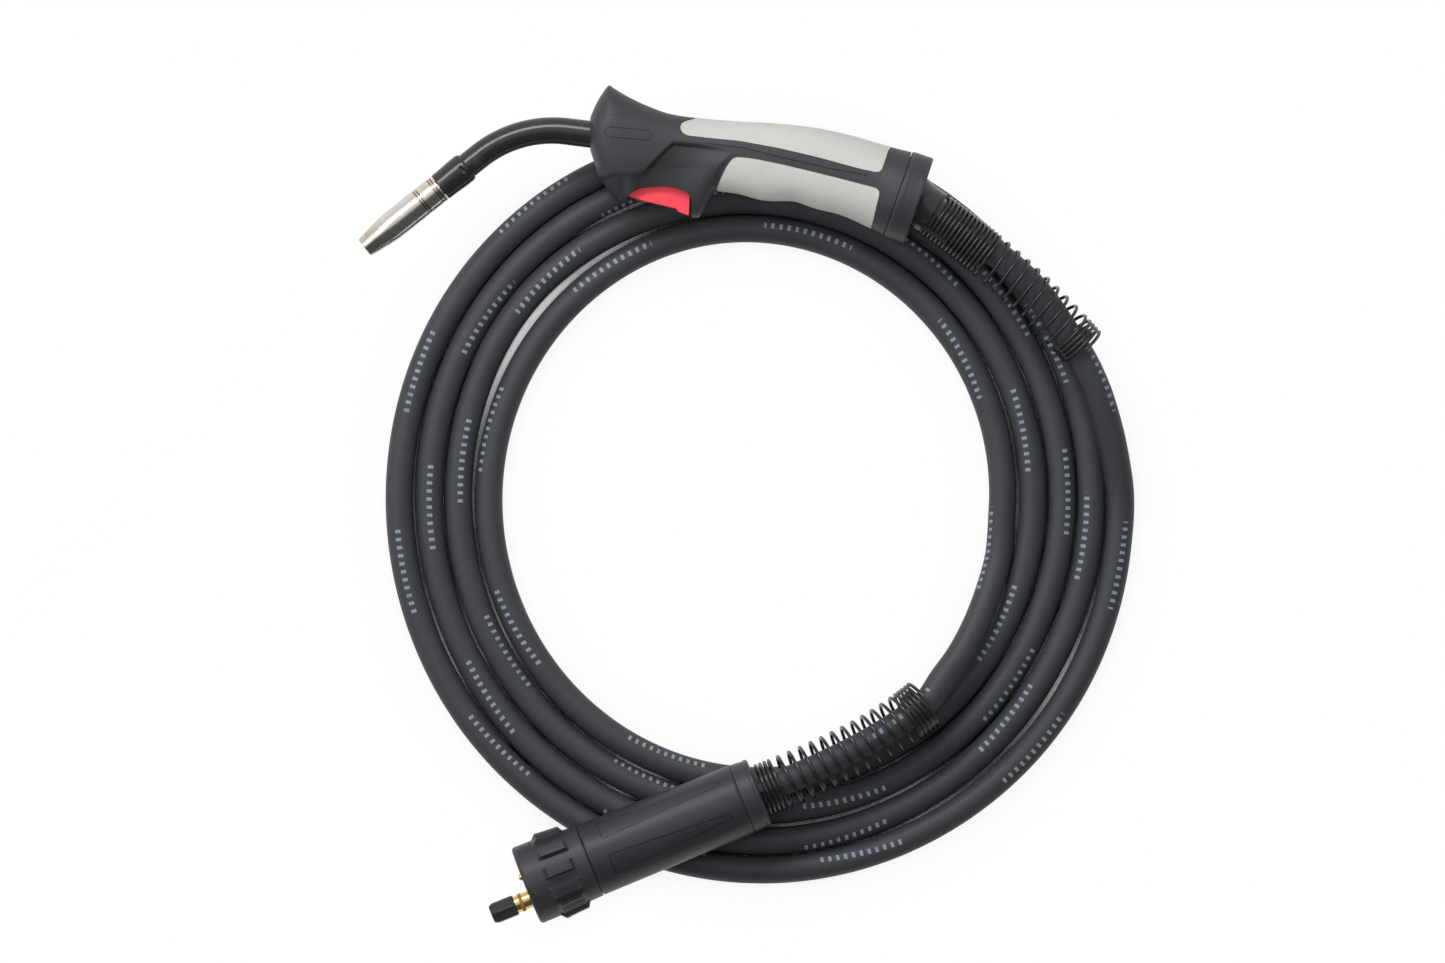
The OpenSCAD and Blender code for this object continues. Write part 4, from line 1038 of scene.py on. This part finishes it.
def union_nut():
    """Radius over length and turn: a gently tapering body with twelve raised fingers, long ramps
    in front and short ones behind; inside, a 1.5 mm thread up to the lip."""
    turn = around(456)[None, :]
    lip = [0.0, 0.25, 0.8, 1.6]
    fingers = np.linspace(11.4, 32, 76)
    rear = np.linspace(33, 39.2, 6)
    out = np.concatenate([lip, np.linspace(4, 11, 6), fingers, rear, [39.5]])[:, None]
    stations = [*lip, 11, 18, 39.2, 39.5]
    base = np.interp(out, stations, [22.3, 22.7, 23.2, 23.5, 23.4, 22.6, 21.8, 21.5])
    share = np.mod(turn * NUT_FINGERS / (2 * math.pi) + 0.75, 1) - 0.5
    across = share * (2 * math.pi * 24.5 / NUT_FINGERS)
    finger = ease(3.9 - abs(across), 0, 1.1) * ease(out, 11.8, 15.8) * ease(31.6 - out, 0, 2.6)
    outer = base + (3.5 - 0.3 * ease(out, 14, 28)) * finger
    back = np.concatenate([[39.5, 37.6], np.linspace(37.3, 0.8, 110), [0.0]])[:, None]
    thread = np.abs(np.mod(back / 1.5 - turn / (2 * math.pi), 1) - 0.5) * 2
    inner = np.where(back > 37.4, 19.0, 20.0 + 0.4 * thread * ease(back, 0.4, 2.5))
    distance = np.concatenate([out, back]) + 0 * turn
    grid = CONNECTOR_LINE.at(distance, np.concatenate([outer, inner]), turn)
    return build(
        "ribbed_nut", grid, nut_plastic, "union_nut", ("union_nut",),
        (True, True), crease=30.0,
    )


union_nut()


def housing_half(name, node, first):
    """Half a tapering tube: outer arc one way and inner arc back on each row."""
    along = np.concatenate([[39.9, 40.1, 40.5], np.linspace(41, 133.9, 60), [134.4, 134.6]])
    stations = [39.9, 40.1, 40.5, 41, 133.9, 134.6]
    outer = np.interp(along, stations, [20.9, 21.3, 21.5, 21.6, 20.8, 20.35])
    inner = np.interp(along, [39.9, 48.8, 48.9, 134.6], [17.8, 17.8, 18.8, 17.9])
    half = np.linspace(0.0008, math.pi - 0.0008, 90)
    turn = first + np.concatenate([half, half[::-1]])
    radius = np.repeat(np.stack([outer, inner], axis=1), 90, axis=1)
    grid = CONNECTOR_LINE.at(along[:, None], radius, turn[None])
    return build(name, grid, housing_plastic, "cable", (node,))


housing_half("housing_upper", "connector_shell_upper", 0.0)
housing_half("housing_lower", "connector_shell_lower", math.pi)


def rear_collar():
    """Short tapering collar with an eased lip, behind a fine seam."""
    profile = [
        (134.75, 8.3), (134.75, 20.1), (135.0, 20.5), (135.6, 20.7), (143.0, 20.1), (143.5, 20.5),
        (144.6, 20.5), (145.3, 19.9), (145.7, 18.8), (145.7, 8.3),
    ]
    return turned(
        "rear_collar", CONNECTOR_LINE, profile, nut_plastic, "cable", ("connector_rear_ring",),
        crease=26.0,
    )


rear_collar()


def cap():
    """Protective cap: twelve shallow flutes on a closed cylinder with an eased front."""
    turn = around(96)[None, :]
    rows = np.array([
        (-24.8, 0.02), (-24.8, 4.6), (-24.5, 5.1), (-23.9, 5.5), (-22.4, 5.85), (-21.6, 5.9),
        (-11.2, 5.9), (-10.2, 5.8), (-9.8, 5.5), (-9.8, 4.75), (-21.9, 4.75), (-22.0, 0.02),
    ])
    along, radius = rows[:, :1], np.repeat(rows[:, 1:], 96, axis=1)
    flute = np.cos(turn * 12) * 0.16 * ((along > -22.6) & (along < -9.9) & (radius > 5.6))
    axis = Axis(CONNECTOR_LINE.at(0.0, 7.8, math.pi), 22.0)
    return build(
        "plug_cap", axis.at(along, radius + flute - 0.05, turn), inner_black, "cap", ("pin_cap",),
        (True, True), crease=26.0,
    )


cap()

# ---- Finishes of the parts that keep their solid ----

KEPT = {
    inner_black: ["nozzle_insulator", "microswitch_body", "plug_insulator", "cable_gland"],
    plug_brass: ["tip_holder", "neck_nut", "plug_barrel", "contact_pin_upper", "contact_pin_lower"],
    liner_steel: ["nozzle_spring", "wire_liner", "handle_screws", "trigger_pin"],
    tip_copper: ["contact_tip", "gooseneck_tube", "power_ferrule"],
    lead_red: ["switch_leads", "power_core"],
    trigger_red: ["microswitch_button"],
    seat_nylon: ["swivel_seat"],
    seal_rubber: ["o_rings"],
}
for finish, nodes in KEPT.items():
    for node in nodes:
        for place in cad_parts[node].material_slots:
            place.material = finish.material

# ---- Floor, lamps and surroundings ----

LAMP_TARGET = (0.22, -0.12, 0.0)


def studio_floor():
    """A pale sheet under everything, its colour painted near black where something lies close over
    it, as painted shade; seen rays get most of its white from the sheet itself, and less of it,
    down to none, where something lies close over it."""
    edge = 6.0
    height = FLOOR / 1000 - 0.0002
    corners = [(-edge, -edge), (edge, -edge), (edge, edge), (-edge, edge)]
    mesh = bpy.data.meshes.new("studio_floor")
    mesh.from_pydata([(x, y, height) for x, y in corners], [], [(0, 1, 2, 3)])
    material = bpy.data.materials.new("studio_floor")
    material.use_nodes = True
    nodes = Nodes(material.node_tree)
    open_sky = nodes.number("ShaderNodeAmbientOcclusion", output="AO", Distance=0.03)
    lift = open_sky.ramp(0.15, 0.27)
    # painted shade: the sheet's colour goes near black in the narrow gaps between the loops and
    # under the parts
    sheet_painted_shade = nodes.blend(lift, (0.01, 0.01, 0.012), (0.8, 0.8, 0.8))
    sheet = nodes.number("ShaderNodeBsdfDiffuse", Color=sheet_painted_shade)
    white = nodes.number("ShaderNodeEmission", Color=(1.0, 1.0, 1.0))
    share = nodes.rays("Camera", "Glossy", "Transmission") * (lift * (open_sky * 0.24 + 0.76))
    mix = nodes.number("ShaderNodeMixShader", None, share, sheet, white)
    nodes.node("ShaderNodeOutputMaterial", Surface=mix)
    mesh.materials.append(material)
    placed("studio_floor", mesh)


def lamp(name, location, size, watts, mirrored=True):
    """A rectangular soft lamp turned to the object; one that isn't mirrored leaves no highlight."""
    data = bpy.data.lights.new(name, "AREA")
    data.shape = "RECTANGLE"
    data.size, data.size_y = size
    data.energy = watts
    light = placed(name, data)
    light.location = location
    light.visible_camera = False
    light.visible_glossy = mirrored
    away = unit(np.array(location) - LAMP_TARGET)
    overhead = away[2] > 0.999
    turn = 0.0 if overhead else math.atan2(away[0], -away[1])
    light.rotation_euler = (math.acos(away[2]), 0.0, turn)


def surroundings():
    """White as seen; bright to the north and dim to the south as a reflection; grey as light."""
    world = bpy.data.worlds.new("surroundings")
    bpy.context.scene.world = world
    world.use_nodes = True
    nodes = Nodes(world.node_tree)
    place = nodes.number("ShaderNodeTexCoord", output="Generated")
    to_north = nodes.number(
        "ShaderNodeVectorMath", {"operation": "DOT_PRODUCT"}, place, (-0.35, 0.93, 0.0),
        output="Value",
    )
    mirrored = to_north.ramp(-0.25, 0.1, 0.1, 0.85)
    level = 0.2 + (mirrored - 0.2) * nodes.rays("Glossy")
    level = level + (1.0 - level) * nodes.rays("Camera", "Transmission")
    white = nodes.number("ShaderNodeBackground", Color=(1.0, 1.0, 1.0), Strength=level)
    nodes.node("ShaderNodeOutputWorld", Surface=white)


studio_floor()
surroundings()
lamp("north_lamp", (-0.3, 1.15, 1.45), (1.6, 0.5), 24.0)
lamp("west_lamp", (-1.3, 0.1, 1.4), (1.2, 1.6), 8.0)
lamp("top_lamp", (0.25, -0.1, 1.9), (0.7, 0.7), 11.0, mirrored=False)
bpy.context.scene.view_settings.view_transform = "Standard"
